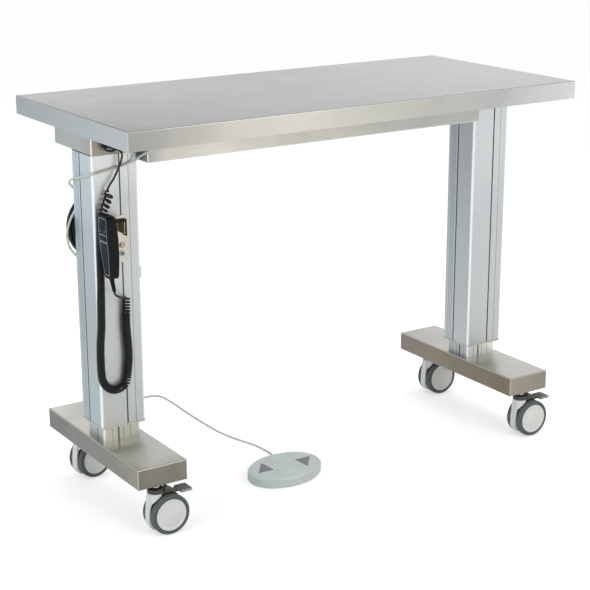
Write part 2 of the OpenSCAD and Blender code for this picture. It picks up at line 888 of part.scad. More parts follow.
// Hub: a pale disc with a raised rim and a blind bore for the axle
module hub(front, side, sign) {
    hub_r = hub_d / 2;
    dish = 1.2;
    rim_w = 4;
    edge = 2;
    inner_face = body_w / 2 + wheel_gap;
    outer_face = inner_face + wheel_w;
    bore_l = caster_w / 2 - axle_end + run_gap - inner_face;
    color(CREAM)
        at_caster(front, side)
            translate([trail, 0, wheel_r])
                rotate([-sign * 90, 0, 0])
                    rotate_extrude()
                        polygon([
                            [axle_r + shaft_fit, inner_face],
                            [hub_r - edge, inner_face],
                            [hub_r, inner_face + edge],
                            [hub_r, outer_face - edge],
                            [hub_r - edge, outer_face],
                            [hub_r - rim_w, outer_face],
                            [hub_r - rim_w - dish, outer_face - dish],
                            [0, outer_face - dish],
                            [0, inner_face + bore_l],
                            [axle_r + shaft_fit, inner_face + bore_l]
                        ]);
}

// Tyre: a ring with rounded shoulders
module tyre(front, side, sign) {
    inner_r = hub_d / 2 + tyre_fit;
    shoulder = 4;
    inner_edge = 1;
    inset = 0.5;
    low = body_w / 2 + wheel_gap + inset;
    high = low + wheel_w - 2 * inset;
    color(TYRE_GREY)
        at_caster(front, side)
            translate([trail, 0, wheel_r])
                rotate([-sign * 90, 0, 0])
                    rotate_extrude()
                        union() {
                            translate([inner_r, low + inner_edge])
                                square([wheel_r - inner_r, high - low - shoulder - inner_edge]);
                            translate([inner_r, low])
                                square([wheel_r - inner_r - inner_edge, high - low - shoulder]);
                            translate([inner_r, low]) square([wheel_r - inner_r - shoulder, high - low]);
                            translate([wheel_r - shoulder, high - shoulder]) circle(shoulder);
                        }
}

// Brake pedal: a barrel between the housing's ears, an arm and a ribbed tread
module brake_pedal(side) {
    tread_l = 30;
    tread_low = wheel_d - 4;
    rib_count = 5;
    rib_pitch = tread_l / rib_count;
    rib_h = 2;
    tread_x = pivot_x + pedal_l - tread_l;
    heel_x = pivot_x + 12;
    bend_x = pivot_x + 6;
    joined = 3;
    color(BLACK)
        at_caster(true, side) {
            translate([pivot_x, 0, pivot_z])
                rotate([90, 0, 0]) cylinder(h = arm_w, r = barrel_r, center = true);
            translate([pivot_x, 0, pivot_z])
                rotate([90, 0, 0]) cylinder(h = body_w - 1, r = pivot_r, center = true);
            across_caster(arm_w)
                polygon([
                    [pivot_x, pivot_z - 4], [heel_x, tread_low], [tread_x + joined, tread_low],
                    [tread_x + joined, tread_low + arm_t], [bend_x, tread_low + arm_t + 1],
                    [pivot_x, pivot_z + arm_t]
                ]);
            across_caster(pedal_w)
                union() {
                    translate([tread_x, tread_low]) square([tread_l, arm_t]);
                    for (i = [0:rib_count - 1])
                        translate([tread_x + (i + 0.2) * rib_pitch, tread_low])
                            square([rib_pitch * 0.6, arm_t + rib_h]);
                }
        }
}

// Handset and its bracket

module hand_outline(inset) {
    top = hand_h - inset;
    top_half = hand_top_w / 2 - inset;
    half = hand_w / 2 - inset;
    waist_half = hand_waist_w / 2 - inset;
    low_half = hand_low_w / 2 - inset;
    polygon([
        [-top_half + hand_corner, top], [top_half - hand_corner, top], [top_half, top - hand_corner],
        [half, hand_wide_up], [waist_half, hand_waist_up], [low_half, inset + hand_corner],
        [low_half - hand_corner, inset], [-low_half + hand_corner, inset],
        [-low_half, inset + hand_corner], [-waist_half, hand_waist_up], [-half, hand_wide_up],
        [-top_half, top - hand_corner]
    ]);
}

// The handset from the side: its front falls back below the keys, and its back is slightly crowned
module hand_side(inset) {
    deep = hand_front_d + hand_back_d;
    intersection() {
        polygon([
            [inset, hand_fall_up], [inset, hand_h], [deep, hand_h], [deep, 0], [hand_fall + inset, 0]
        ]);
        translate([deep - hand_belly_r, hand_belly_up]) circle(hand_belly_r - inset, $fn = 360);
    }
}

// The handset's body between two X planes, drawn with its wall thinned by inset
module hand_body(from_x, to_x, inset) {
    intersection() {
        translate([from_x, hand_y, hand_z])
            rotate([90, 0, 90]) linear_extrude(to_x - from_x) hand_outline(inset);
        translate([-column_x + hand_x, hand_y + hand_w / 2 + 1, hand_z])
            rotate([90, 0, 0]) linear_extrude(hand_w + 2) hand_side(inset);
    }
}

module at_key(sign) {
    translate([-column_x + hand_x, hand_y + sign * key_pitch / 2, key_top_z - key_h / 2]) children();
}

// Strain relief held between the two shells
module cord_relief(extra) {
    translate([hand_split + relief_in, hand_y, hand_z + relief_up])
        rotate([0, 180 - relief_lean, 0])
            cylinder(h = relief_l, r1 = relief_r + extra, r2 = relief_tip_r + extra);
}

module handset_front() {
    face_x = -column_x + hand_x;
    color(DARK)
        difference() {
            hand_body(face_x, hand_split, 0);
            hand_body(face_x, hand_split + 1, hand_wall);
            for (sign = [-1, 1])
                at_key(sign)
                    cube([3 * hand_wall, key_w + 2 * run_gap, key_h + 2 * run_gap], center = true);
            cord_relief(press_fit);
        }
}

module handset_back() {
    arm_bottom = tab_top + hook_rest_gap;
    arm_top_z = arm_bottom + hook_t;
    lip_x = -column_x + tab_x + bracket_t + run_gap;
    arm_x = hand_split + hook_start;
    arm_y = column_front - bracket_t - tab_l - hook_over;
    color(BLACK)
        union() {
            difference() {
                hand_body(hand_split, hand_split + hand_back_d + 1, 0);
                hand_body(hand_split - 1, hand_split + hand_back_d + 1, hand_wall);
            }
            translate([arm_x, arm_y, arm_bottom])
                cube([lip_x + hook_lip_t - arm_x, hook_w, hook_t]);
            translate([lip_x, arm_y, arm_top_z - hook_lip_h])
                cube([hook_lip_t, hook_w, hook_lip_h]);
            cord_relief(0);
        }
}

module hand_key(sign) {
    color(DARK)
        at_key(sign) {
            translate([-key_rise, -key_w / 2, -key_h / 2])
                cube([key_rise + hand_wall + run_gap, key_w, key_h]);
            translate([hand_wall + run_gap, -key_w / 2 - key_flange, -key_h / 2 - key_flange])
                cube([key_flange_t, key_w + 2 * key_flange, key_h + 2 * key_flange]);
        }
}

module handset_bracket() {
    plate_x = -column_x + bracket_x;
    color(STEEL)
        difference() {
            union() {
                translate([plate_x, column_front, 0])
                    rotate([90, 0, 0])
                        linear_extrude(bracket_t)
                            union() {
                                translate([0, bracket_low]) circle(bracket_w / 2);
                                translate([-bracket_w / 2, bracket_low])
                                    square([bracket_w, bracket_top - bracket_low]);
                            }
                translate([-column_x + tab_x, column_front - bracket_t - tab_l, tab_top - tab_h])
                    cube([bracket_t, tab_l + 1, tab_h]);
            }
            for (z = bracket_holes)
                translate([plate_x, column_front + 1, bracket_low + z])
                    rotate([90, 0, 0]) cylinder(h = bracket_t + 2, r = bracket_hole_r + 0.2);
        }
}

module bracket_screws() {
    color(ZINC)
        for (z = bracket_holes)
            translate([-column_x + bracket_x, column_front, bracket_low + z])
                rotate([90, 0, 0]) {
                    translate([0, 0, -groove_d + 0.5])
                        cylinder(h = groove_d + bracket_t, r = groove_w / 2 - run_gap);
                    translate([0, 0, bracket_t]) cylinder(h = screw_head_h, r = screw_head_r);
                }
}

// Cords, their glands, hook and plug

module gland(at, direction, length) {
    translate(at)
        rotate(direction) {
            cylinder(h = gland_base, r = gland_r);
            cylinder(h = length, r = gland_r - gland_neck);
        }
}

module cable_glands() {
    color(BLACK) {
        gland(hand_gland_at, [90, 0, 0], gland_l);
        gland(foot_gland_at, [90, 0, 0], gland_l);
        gland(mains_gland_at, [180, 0, 0], mains_gland_l);
    }
}

module cable_hook() {
    arm_x = coil_at[0] - hook_arm_w / 2;
    color(STEEL) {
        translate([coil_at[0] - hook_plate[0] / 2, column_rear, arm_top - hook_arm_t - hook_plate_under])
            cube(hook_plate);
        translate([arm_x, column_rear + 1, arm_top - hook_arm_t])
            cube([hook_arm_w, hook_reach, hook_arm_t]);
        translate([arm_x, column_rear + 1 + hook_reach - hook_arm_t, arm_top - hook_arm_t])
            cube([hook_arm_w, hook_arm_t, hook_end_h]);
    }
}

module motor_cables() {
    route = smooth_route([for (p = motor_route) p + [0, 0, head_bottom]], 14);
    color(BLACK) {
        tube(route, motor_cable_d, 8);
        mirror([1, 0, 0]) tube(route, motor_cable_d, 8);
    }
}

module handset_cord() {
    wound = curls(hand_route_curls, curl_r, curl_count);
    top = smooth_route(hand_route_top, 14);
    end = smooth_route(hand_route_end, 14);
    path = concat([for (i = [0:len(top) - 2]) top[i]], wound, [for (i = [1:len(end) - 1]) end[i]]);
    echo("curly cord: least gap to itself in mm", least_gap(wound, curl_wire, 6));
    color(BLACK) tube(path, curl_wire, 6);
}

module mains_lead() {
    top = mains_gland_at[2] - mains_gland_l;
    low = coil_at[2] + mains_d;
    at = [coil_at[0] + coil_r, coil_at[1], 0];
    color(BLACK)
        tube([at + [0, 0, top], at + [0, 0, (2 * top + low) / 3], at + [0, 0, (top + 2 * low) / 3],
              at + [0, 0, low]], mains_d, 8);
}

coil_end = coil_at + [coil_r, coil_layer, 0];

module mains_coil() {
    turns = coil_path();
    start = coil_at + [coil_r, 0, mains_d];
    path = concat([start], turns, [for (p = coil_tail) coil_end + p]);
    echo("mains coil: least gap to itself in mm", least_gap(turns, mains_d, 12));
    color(BLACK) tube(path, mains_d, 6);
}

module mains_plug() {
    boot_l = 24;
    pin_r = 2.4;
    pin_l = 19;
    pin_gap = 19;
    body = [36, 30];
    body_r = 6;
    boot_r = mains_d / 2 + 1;
    boot_low_r = mains_d / 2 + 4;
    color(BLACK)
        translate(coil_end + coil_tail[len(coil_tail) - 1])
            rotate([180, 0, 0]) {
                cylinder(h = boot_l + 1, r1 = boot_r, r2 = boot_low_r);
                translate([0, 0, boot_l]) soft_box([body[0], body[1], plug_l], body_r);
                for (sign = [-1, 1])
                    translate([sign * pin_gap / 2, 0, boot_l + plug_l - 1])
                        cylinder(h = pin_l + 1, r = pin_r);
            }
}

module foot_cord_top() {
    color(CORD_GREY) tube(smooth_route(foot_route_top, 22), foot_cord_d, 8);
}

module foot_cord_drop() {
    color(CORD_GREY) tube(smooth_route(foot_route_drop, 46), foot_cord_d, 8);
}

// Foot switch

module at_switch() {
    translate([switch_at[0], switch_at[1], 0]) rotate([0, 0, switch_turn]) children();
}

module switch_pads_outline(gap) {
    difference() {
        oval(switch_l - 2 * switch_rim + 2 * gap, switch_w - 2 * switch_rim + 2 * gap);
        rotate(switch_bar_turn)
            square([switch_bar + 2 * run_gap - 2 * gap, switch_l], center = true);
    }
}

module foot_switch_base() {
    rim_h = switch_h - 4;
    foot_inset = 4;
    edge_h = 3;
    gland_in = 8;
    pocket_z = switch_h - pad_t - pad_travel - 0.5;
    rear_y = switch_at[1] + switch_w / 2 - gland_in;
    color(SWITCH_GREY) {
        at_switch()
            difference() {
                union() {
                    linear_extrude(edge_h) oval(switch_l - foot_inset, switch_w - foot_inset);
                    translate([0, 0, edge_h - 1])
                        linear_extrude(rim_h - 2 * edge_h + 2) oval(switch_l, switch_w);
                    translate([0, 0, rim_h - edge_h])
                        linear_extrude(edge_h) oval(switch_l - foot_inset, switch_w - foot_inset);
                    intersection() {
                        linear_extrude(switch_h)
                            oval(switch_l - 2 * switch_rim, switch_w - 2 * switch_rim);
                        rotate(switch_bar_turn)
                            translate([0, 0, switch_h / 2])
                                cube([switch_bar, switch_l, switch_h], center = true);
                    }
                }
                translate([0, 0, pocket_z]) linear_extrude(switch_h) switch_pads_outline(run_gap);
            }
        translate([switch_cord_at[0], rear_y, switch_cord_at[2]])
            rotate([-90, 0, 0])
                cylinder(h = switch_cord_at[1] - rear_y, r = switch_gland_r);
    }
}

module switch_pad(sign) {
    color(SWITCH_GREY)
        at_switch()
            translate([0, 0, switch_h - pad_t])
                linear_extrude(pad_t)
                    intersection() {
                        switch_pads_outline(0);
                        rotate(switch_bar_turn)
                            translate([sign * switch_l / 2, 0]) square(switch_l, center = true);
                    }
}

// Nodes

tabletop_sheet();
tabletop_core();
cross_rail();
control_box();
head_box(LEFT);  // left_head_box
head_box(RIGHT);  // right_head_box
lift_motors();
outer_column(LEFT);  // left_outer_column
outer_column(RIGHT);  // right_outer_column
column_bushes();
spindle(LEFT);  // left_spindle
spindle(RIGHT);  // right_spindle
handset_bracket();
bracket_screws();
cable_glands();
cable_hook();
motor_cables();
handset_front();
handset_back();
hand_key(1);  // handset_up_key
hand_key(-1);  // handset_down_key
handset_cord();
mains_lead();
mains_coil();
mains_plug();
foot_cord_top();
foot_cord_drop();
foot_switch_base();
switch_pad(1);  // foot_switch_up_pad
switch_pad(-1);  // foot_switch_down_pad
foot_beam(LEFT);  // left_foot_beam
inner_column(LEFT);  // left_inner_column
spindle_nut(LEFT);  // left_spindle_nut
caster_stems(LEFT);  // left_caster_stems
foot_beam(RIGHT);  // right_foot_beam
inner_column(RIGHT);  // right_inner_column
spindle_nut(RIGHT);  // right_spindle_nut
caster_stems(RIGHT);  // right_caster_stems
housing(true, LEFT);  // front_left_housing
hub(true, LEFT, -1);  // front_left_hub_a
tyre(true, LEFT, -1);  // front_left_tyre_a
hub(true, LEFT, 1);  // front_left_hub_b
tyre(true, LEFT, 1);  // front_left_tyre_b
brake_pedal(LEFT);  // front_left_brake_pedal
housing(true, RIGHT);  // front_right_housing
hub(true, RIGHT, -1);  // front_right_hub_a
tyre(true, RIGHT, -1);  // front_right_tyre_a
hub(true, RIGHT, 1);  // front_right_hub_b
tyre(true, RIGHT, 1);  // front_right_tyre_b
brake_pedal(RIGHT);  // front_right_brake_pedal
housing(false, LEFT);  // back_left_housing
hub(false, LEFT, -1);  // back_left_hub_a
tyre(false, LEFT, -1);  // back_left_tyre_a
hub(false, LEFT, 1);  // back_left_hub_b
tyre(false, LEFT, 1);  // back_left_tyre_b
housing(false, RIGHT);  // back_right_housing
hub(false, RIGHT, -1);  // back_right_hub_a
tyre(false, RIGHT, -1);  // back_right_tyre_a
hub(false, RIGHT, 1);  // back_right_hub_b
tyre(false, RIGHT, 1);  // back_right_tyre_b
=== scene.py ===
"""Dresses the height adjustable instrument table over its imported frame."""
import math

import bmesh
import bpy
from mathutils import Matrix, Vector


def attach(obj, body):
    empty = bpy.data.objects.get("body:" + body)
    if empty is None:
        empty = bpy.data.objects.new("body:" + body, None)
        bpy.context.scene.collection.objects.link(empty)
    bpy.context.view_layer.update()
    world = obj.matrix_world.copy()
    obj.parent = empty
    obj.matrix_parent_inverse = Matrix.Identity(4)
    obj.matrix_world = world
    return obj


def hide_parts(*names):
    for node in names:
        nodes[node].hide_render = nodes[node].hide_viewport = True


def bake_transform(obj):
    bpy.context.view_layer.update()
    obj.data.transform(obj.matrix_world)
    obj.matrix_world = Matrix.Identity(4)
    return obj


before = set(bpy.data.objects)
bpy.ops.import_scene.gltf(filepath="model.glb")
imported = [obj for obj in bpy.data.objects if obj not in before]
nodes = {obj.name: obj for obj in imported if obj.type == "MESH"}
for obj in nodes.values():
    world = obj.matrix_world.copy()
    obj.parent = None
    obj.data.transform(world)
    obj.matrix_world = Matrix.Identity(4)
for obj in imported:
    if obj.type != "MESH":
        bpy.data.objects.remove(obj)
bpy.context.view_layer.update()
scene = bpy.context.scene

MM = 0.001


def mm(*values):
    """A point or size given in millimetres, in metres."""
    return Vector([v * MM for v in values])


def moved_by(*values):
    """A move by millimetres."""
    return Matrix.Translation(mm(*values))


def turned_by(angle, axis):
    """A turn by degrees about an axis."""
    return Matrix.Rotation(math.radians(angle), 4, axis)


def placed(name, data):
    """A new object in the scene."""
    made = bpy.data.objects.new(name, data)
    scene.collection.objects.link(made)
    return made


# Camera at the photograph's place

CAMERA_AT = (-2.1177, -3.1941, 1.5805)
CAMERA_AZIMUTH = -33.23
CAMERA_ELEVATION = 16.63
CAMERA_ROLL = -0.13
CAMERA_LENS = 92.83
CAMERA_SENSOR = 36
CAMERA_REACH = (0.1, 40)

lens = bpy.data.cameras.new("photo_camera")
lens.lens = CAMERA_LENS
lens.sensor_width = CAMERA_SENSOR
lens.clip_start, lens.clip_end = CAMERA_REACH
camera = placed("photo_camera", lens)
scene.camera = camera
camera.matrix_world = (
    Matrix.Translation(CAMERA_AT)
    @ turned_by(CAMERA_AZIMUTH, "Z")
    @ turned_by(90 - CAMERA_ELEVATION, "X")
    @ turned_by(CAMERA_ROLL, "Z")
)
scene.view_settings.view_transform = "Standard"


# Finishes

def paint(red, green, blue, gain=1.0):
    """A colour from its three screen values, 0 to 255, in scene linear, darker by a gain."""
    linear = []
    for value in (red, green, blue):
        c = value / 255
        c = c / 12.92 if c <= 0.04045 else ((c + 0.055) / 1.055) ** 2.4
        linear.append(min(1.0, c * (1 / gain)))
    return (*linear, 1.0)


class Nodes:
    """A tree of nodes being put together."""

    def __init__(self, owner):
        owner.use_nodes = True
        self.tree = owner.node_tree

    def node(self, kind, inputs=None, **settings):
        made = self.tree.nodes.new(kind)
        for key, value in settings.items():
            setattr(made, key, value)
        for key, value in (inputs or {}).items():
            if hasattr(value, "is_output"):
                self.tree.links.new(value, made.inputs[key])
            else:
                made.inputs[key].default_value = value
        return made

    def reckon(self, operation, *values):
        """One operation on values or outputs."""
        return self.node("ShaderNodeMath", dict(enumerate(values)), operation=operation).outputs[0]

    def show(self, surface, output):
        """Links a shader to the tree's own output."""
        self.tree.links.new(surface.outputs[0], self.tree.nodes[output].inputs["Surface"])


class Finish(Nodes):
    """A material being put together from its nodes."""

    def __init__(self, name):
        self.material = bpy.data.materials.new(name)
        super().__init__(self.material)
        self.shader = self.tree.nodes["Principled BSDF"]

    def set(self, **values):
        """Constant sockets of the shader, named with _ for each space and Ior for IOR."""
        for key, value in values.items():
            self.shader.inputs[key.replace("_", " ").replace("Ior", "IOR")].default_value = value

    def link(self, output, socket):
        self.tree.links.new(output, self.shader.inputs[socket])

    def noise(self, scale, stretch=(1, 1, 1), detail=3.0, roughness=0.5):
        """Noise over object coordinates; a small stretch on an axis draws the grain out along it."""
        where = self.node("ShaderNodeTexCoord").outputs["Object"]
        mapped = self.node("ShaderNodeMapping", {"Vector": where, "Scale": stretch})
        texture = self.node(
            "ShaderNodeTexNoise",
            {"Vector": mapped.outputs["Vector"], "Scale": scale, "Detail": detail, "Roughness": roughness},
        )
        return texture.outputs["Fac"]

    def ramp(self, fac, stops):
        """A ramp through stops of a place from 0 to 1 and a colour or a grey."""
        ramp = self.node("ShaderNodeValToRGB", {"Fac": fac})
        elements = ramp.color_ramp.elements
        while len(elements) < len(stops):
            elements.new(0.5)
        for element, (position, colour) in zip(elements, stops):
            element.position = position
            element.color = colour if hasattr(colour, "__len__") else (colour, colour, colour, 1)
        return ramp.outputs["Color"]

    def span(self, fac, low, high, to_low=0.0, to_high=1.0):
        """A value between two limits, drawn out between two others."""
        made = self.node(
            "ShaderNodeMapRange",
            {"Value": fac, "From Min": low, "From Max": high, "To Min": to_low, "To Max": to_high},
        )
        return made.outputs["Result"]

    def mix(self, fac, a, b, blend="MIX"):
        made = self.node("ShaderNodeMix", data_type="RGBA", blend_type=blend)
        for socket, value in (("Factor", fac), ("A", a), ("B", b)):
            found = [i for i in made.inputs if i.name == socket and i.enabled][0]
            if hasattr(value, "is_output"):
                self.tree.links.new(value, found)
            else:
                found.default_value = value
        return [o for o in made.outputs if o.enabled][0]

    def dimmed(self, tone, fac, *stops):
        """A tone made darker by a grey ramp."""
        return self.mix(1.0, tone, self.ramp(fac, stops), "MULTIPLY")

    def finished(self, tone, rough, *relief):
        """The material with its tone and roughness, and a relief of some height, strength and depth."""
        self.link(tone, "Base Color")
        self.link(rough, "Roughness")
        if relief:
            bump = self.node("ShaderNodeBump", dict(zip(("Height", "Strength", "Distance"), relief)))
            self.link(bump.outputs["Normal"], "Normal")
        return self.material

    def facing(self, axis):
        """The object-space normal along one axis, from -1 to 1."""
        normal = self.node("ShaderNodeTexCoord").outputs["Normal"]
        return self.node("ShaderNodeSeparateXYZ", {"Vector": normal}).outputs[axis]

    def slope(self, axis):
        """How much a face looks along an axis, either way, from 0 to 1."""
        return self.reckon("ABSOLUTE", self.facing(axis))

    def place(self, axis):
        """The place along one axis, in metres."""
        where = self.node("ShaderNodeTexCoord").outputs["Object"]
        return self.node("ShaderNodeSeparateXYZ", {"Vector": where}).outputs[axis]


def tones(finish, axis, stops, gain):
    """Colour that changes along an axis: stops are (place in mm, red, green, blue)."""
    low, high = stops[0][0], stops[-1][0]
    if low == high:
        return paint(*stops[0][1:], gain)
    fac = finish.span(finish.place(axis), low * MM, high * MM)
    return finish.ramp(fac, [((x - low) / (high - low), paint(*c, gain)) for x, *c in stops])


def steel(name, top, front, end, gain=(1.2, 1.05), grain=(2, 60, 60), cloud=0.9, bend=None, edge=None,
          rough=(0.30, 0.44)):
    """Satin stainless sheet: drawn grain, cloudy sheen and smudges over painted light and reflections, tones
    that change along the sheet and between its top, front and ends.

    top holds two lists of tones along X, for its front and back edge; front is a list along X, end along Y.
    bend gives the tones of a painted dark reflection where a flat top meets its bend and of a painted bright
    one just below it, edge that of a painted highlight on rounded corners."""
    f = Finish(name)
    f.set(Metallic=1.0)
    # Painted light and reflections: the top, the front faces and the ends each get their own tones, which
    # change along the sheet
    upper = f.mix(f.span(f.place("Y"), -0.3, 0.3), *[tones(f, "X", line, gain[0]) for line in top])
    turned = f.span(f.slope("X"), 0.3, 0.8)
    sides = f.mix(turned, tones(f, "X", front, gain[1]), tones(f, "Y", end, gain[1]))
    shaded = f.mix(f.span(f.facing("Z"), 0.3, 0.8), sides, upper)
    shaded = f.dimmed(shaded, f.noise(2.6, detail=3.0), (0.32, cloud), (0.68, 1.0))
    patches = f.noise(9, stretch=(1, 1, 1.6), detail=4.0)
    shaded = f.dimmed(shaded, patches, (0.35, 1 - (1 - cloud) / 2), (0.65, 1.0))
    lines = f.noise(9, stretch=grain, detail=6.0, roughness=0.7)
    shaded = f.dimmed(shaded, lines, (0.3, 0.94), (0.7, 1.0))
    # Painted reflection at the top's rounded fold: a painted dark line where the flat top begins to round
    # over, and a painted bright line below it
    if bend is not None:
        dark, bright = bend
        shaded = f.dimmed(shaded, f.facing("Z"), (0.0, 1.0), (0.06, 1.0), (0.12, bright), (0.62, bright),
                          (0.74, dark), (0.975, dark), (0.998, 1.0))
    # Painted highlight along rounded corners, where the normal leans between the axes
    if edge is not None:
        most = f.reckon("MAXIMUM", f.reckon("MAXIMUM", f.slope("X"), f.slope("Y")), f.slope("Z"))
        shaded = f.mix(f.span(most, 0.97, 0.82), shaded, paint(*edge, gain[1]))
    return f.finished(shaded, f.span(f.noise(11, detail=4.0), 0.3, 0.7, *rough), lines, 0.06, 0.0004)


COLUMN_X = 568
COLUMN_Y = -13
# A painted highlight on the columns' rounded corners, and painted shade in their grooves
ROUNDED_HIGHLIGHT_TONE = (236, 241, 243)
GROOVE_SHADE_TONE = (104, 108, 98)


def profile_metal(name, front, side, half, corner, gain=1.03):
    """Clear anodised profile: painted light and shade in tones that change with height and between front and
    side, a painted highlight on the rounded corners, the die's fine lines, and painted shade in the grooves.

    half is half the profile's width and depth in mm, about the column's axis, corner the radius of its
    corners: what lies deeper than the skin is a groove."""
    f = Finish(name)
    f.set(Metallic=0.75)
    sideways = f.slope("X")
    # Painted light and shade: front and side faces get their own tones, changing with height
    tone = f.mix(f.span(sideways, 0.35, 0.9), tones(f, "Z", front, gain), tones(f, "Z", side, gain))
    # Painted highlight where the corners round from front to side
    rounded = f.ramp(sideways, [(0.0, 0.0), (0.12, 0.0), (0.45, 1.0), (0.8, 1.0), (0.97, 0.0)])
    tone = f.mix(rounded, tone, paint(*ROUNDED_HIGHLIGHT_TONE, gain))
    drawn = f.noise(160, stretch=(1, 1, 0.004), detail=2.0)
    tone = f.dimmed(tone, f.noise(1.6, stretch=(1, 1, 0.6), detail=1.5), (0.3, 0.95), (0.7, 1.0))
    tone = f.dimmed(tone, drawn, (0.35, 0.95), (0.65, 1.0))
    # Painted shade in the grooves: what lies deeper than the corner's skin gets the groove tone
    outside = []
    for place, middle, reach in ((f.reckon("ABSOLUTE", f.place("X")), COLUMN_X, half[0]),
                                 (f.place("Y"), COLUMN_Y, half[1])):
        off = f.reckon("ABSOLUTE", f.reckon("SUBTRACT", place, middle * MM))
        outside.append(f.reckon("MAXIMUM", f.reckon("SUBTRACT", off, (reach - corner) * MM), 0.0))
    bare = f.node("ShaderNodeCombineXYZ", {"X": outside[0], "Y": outside[1]}).outputs[0]
    reach = f.node("ShaderNodeVectorMath", {0: bare}, operation="LENGTH").outputs["Value"]
    sunk = f.span(reach, (corner - 0.15) * MM, (corner - 0.5) * MM)
    tone = f.mix(sunk, tone, paint(*GROOVE_SHADE_TONE, gain))
    return f.finished(tone, f.span(drawn, 0.3, 0.7, 0.36, 0.46), drawn, 0.05, 0.0002)


def bright_metal(name, colour, rough=0.22):
    """Bright machined or plated metal, a little uneven."""
    f = Finish(name)
    f.set(Metallic=1.0)
    spots = f.noise(90, detail=3.0)
    tone = f.dimmed(paint(*colour), spots, (0.3, 0.86), (0.7, 1.0))
    return f.finished(tone, f.span(spots, 0.3, 0.7, rough - 0.05, rough + 0.1))


def moulded(name, colour, rough=0.45, grain=900, depth=0.00006, strength=0.25, wear=0.94, sides=1.0,
            shine=0.5):
    """Moulded plastic: a fine spark-eroded grain and slight unevenness of tone and gloss.

    sides is how much of the tone is left on upright faces, a painted shade on them, shine the strength of
    reflections."""
    f = Finish(name)
    f.set(Specular_Ior_Level=shine)
    soft = f.noise(18, detail=2.0)
    tone = f.dimmed(paint(*colour), soft, (0.3, wear), (0.7, 1.0))
    # Painted shade on upright faces
    if sides < 1.0:
        tone = f.dimmed(tone, f.facing("Z"), (0.2, sides), (0.8, 1.0))
    gloss = f.span(soft, 0.3, 0.7, rough - 0.04, rough + 0.05)
    return f.finished(tone, gloss, f.noise(grain, detail=2.0), strength, depth)


def rubber(name, colour, rough=0.7, shine=0.5):
    """Rubber or a cord's jacket, with a little dust and a fine tooth."""
    f = Finish(name)
    f.set(Specular_Ior_Level=shine)
    dust = f.noise(45, detail=4.0)
    tone = f.dimmed(paint(*colour), dust, (0.35, 0.86), (0.7, 1.0))
    gloss = f.span(dust, 0.3, 0.7, rough - 0.06, rough + 0.08)
    return f.finished(tone, gloss, f.noise(420, detail=3.0), 0.2, 0.0001)


# Each place in mm with its screen colour there: painted light and reflections that shade the table's surfaces
# from end to end
APRON_PAINTED_LIGHT = [(-650, 154, 153, 149), (-600, 160, 159, 154), (-400, 198, 195, 187),
               (-200, 212, 209, 199), (0, 203, 201, 193), (200, 189, 187, 180), (400, 189, 190, 188),
               (650, 226, 226, 227)]
# The top, aprons and ends carry painted light and reflections, with a painted dark and bright line at the
# top's fold
STEEL_TOP = steel(
    "satin_steel_top",
    ([(-650, 156, 158, 157), (-560, 164, 166, 164), (0, 189, 189, 189), (560, 210, 210, 210)],
     [(-560, 201, 202, 201), (0, 188, 190, 189), (560, 206, 207, 206)]),
    APRON_PAINTED_LIGHT, [(-300, 186, 192, 194), (0, 176, 183, 183), (300, 164, 171, 173)],
    gain=(1.30, 1.06), cloud=0.965, bend=(0.45, 1.18))
# Painted light and reflections along the rail's front and the covers' ends, and a painted highlight on their
# rounded corners
RAIL_PAINTED_LIGHT = [(-628, 148, 143, 128), (-505, 160, 156, 143), (-495, 166, 165, 160),
              (-450, 199, 196, 187), (-300, 208, 204, 193), (-100, 193, 191, 181),
              (100, 188, 186, 177), (300, 174, 175, 170), (499, 180, 181, 177), (628, 190, 190, 186)]
STEEL_COVERS = steel(
    "satin_steel_covers", ([(0, 190, 190, 186)] * 2, [(0, 190, 190, 186)] * 2), RAIL_PAINTED_LIGHT,
    [(-100, 160, 163, 160), (0, 170, 174, 173), (120, 166, 170, 169)], gain=(1.2, 1.0), cloud=0.93,
    edge=(214, 212, 203))
# Painted reflection along the feet's front faces; each foot gets its own painted light on its top and ends,
# and a painted highlight on rounded corners
FOOT_END_PAINTED_LIGHT = [(-634, 128, 124, 113), (-600, 140, 135, 123), (-540, 134, 129, 117),
            (-502, 140, 135, 123), (502, 150, 144, 129), (568, 147, 141, 126), (634, 142, 137, 123)]
STEEL_LEFT_FOOT = steel(
    "satin_steel_left_foot",
    ([(-634, 180, 177, 166), (-600, 190, 189, 182), (-502, 190, 189, 183)],
     [(-634, 208, 206, 201), (-502, 186, 185, 180)]),
    FOOT_END_PAINTED_LIGHT,
    [(-261, 150, 148, 140), (-200, 140, 138, 129), (-20, 124, 125, 120), (233, 101, 100, 96)],
    gain=(0.87, 1.0), grain=(60, 2, 60), cloud=0.79, bend=(0.45, 1.0), edge=(170, 168, 160),
    rough=(0.24, 0.4))
STEEL_RIGHT_FOOT = steel(
    "satin_steel_right_foot",
    ([(502, 200, 198, 191), (634, 205, 203, 197)], [(502, 196, 194, 189), (634, 200, 198, 193)]),
    FOOT_END_PAINTED_LIGHT, [(-261, 122, 113, 96), (-20, 124, 118, 106), (233, 137, 127, 113)],
    gain=(1.03, 1.02), grain=(60, 2, 60), cloud=0.82, bend=(0.5, 1.0), edge=(172, 168, 157),
    rough=(0.24, 0.4))
STEEL_BRACKET = steel(
    "satin_steel_bracket", ([(0, 214, 208, 194)] * 2, [(0, 214, 208, 194)] * 2),
    [(-600, 206, 201, 187), (-530, 190, 186, 172)],
    [(-105, 150, 141, 115), (-90, 126, 112, 80), (60, 190, 186, 176)],
    gain=(1.1, 1.0), grain=(60, 60, 4), edge=(222, 220, 212))
OUTER_COLUMN = ((60, 54), 8)
INNER_COLUMN = ((50, 43), 7)
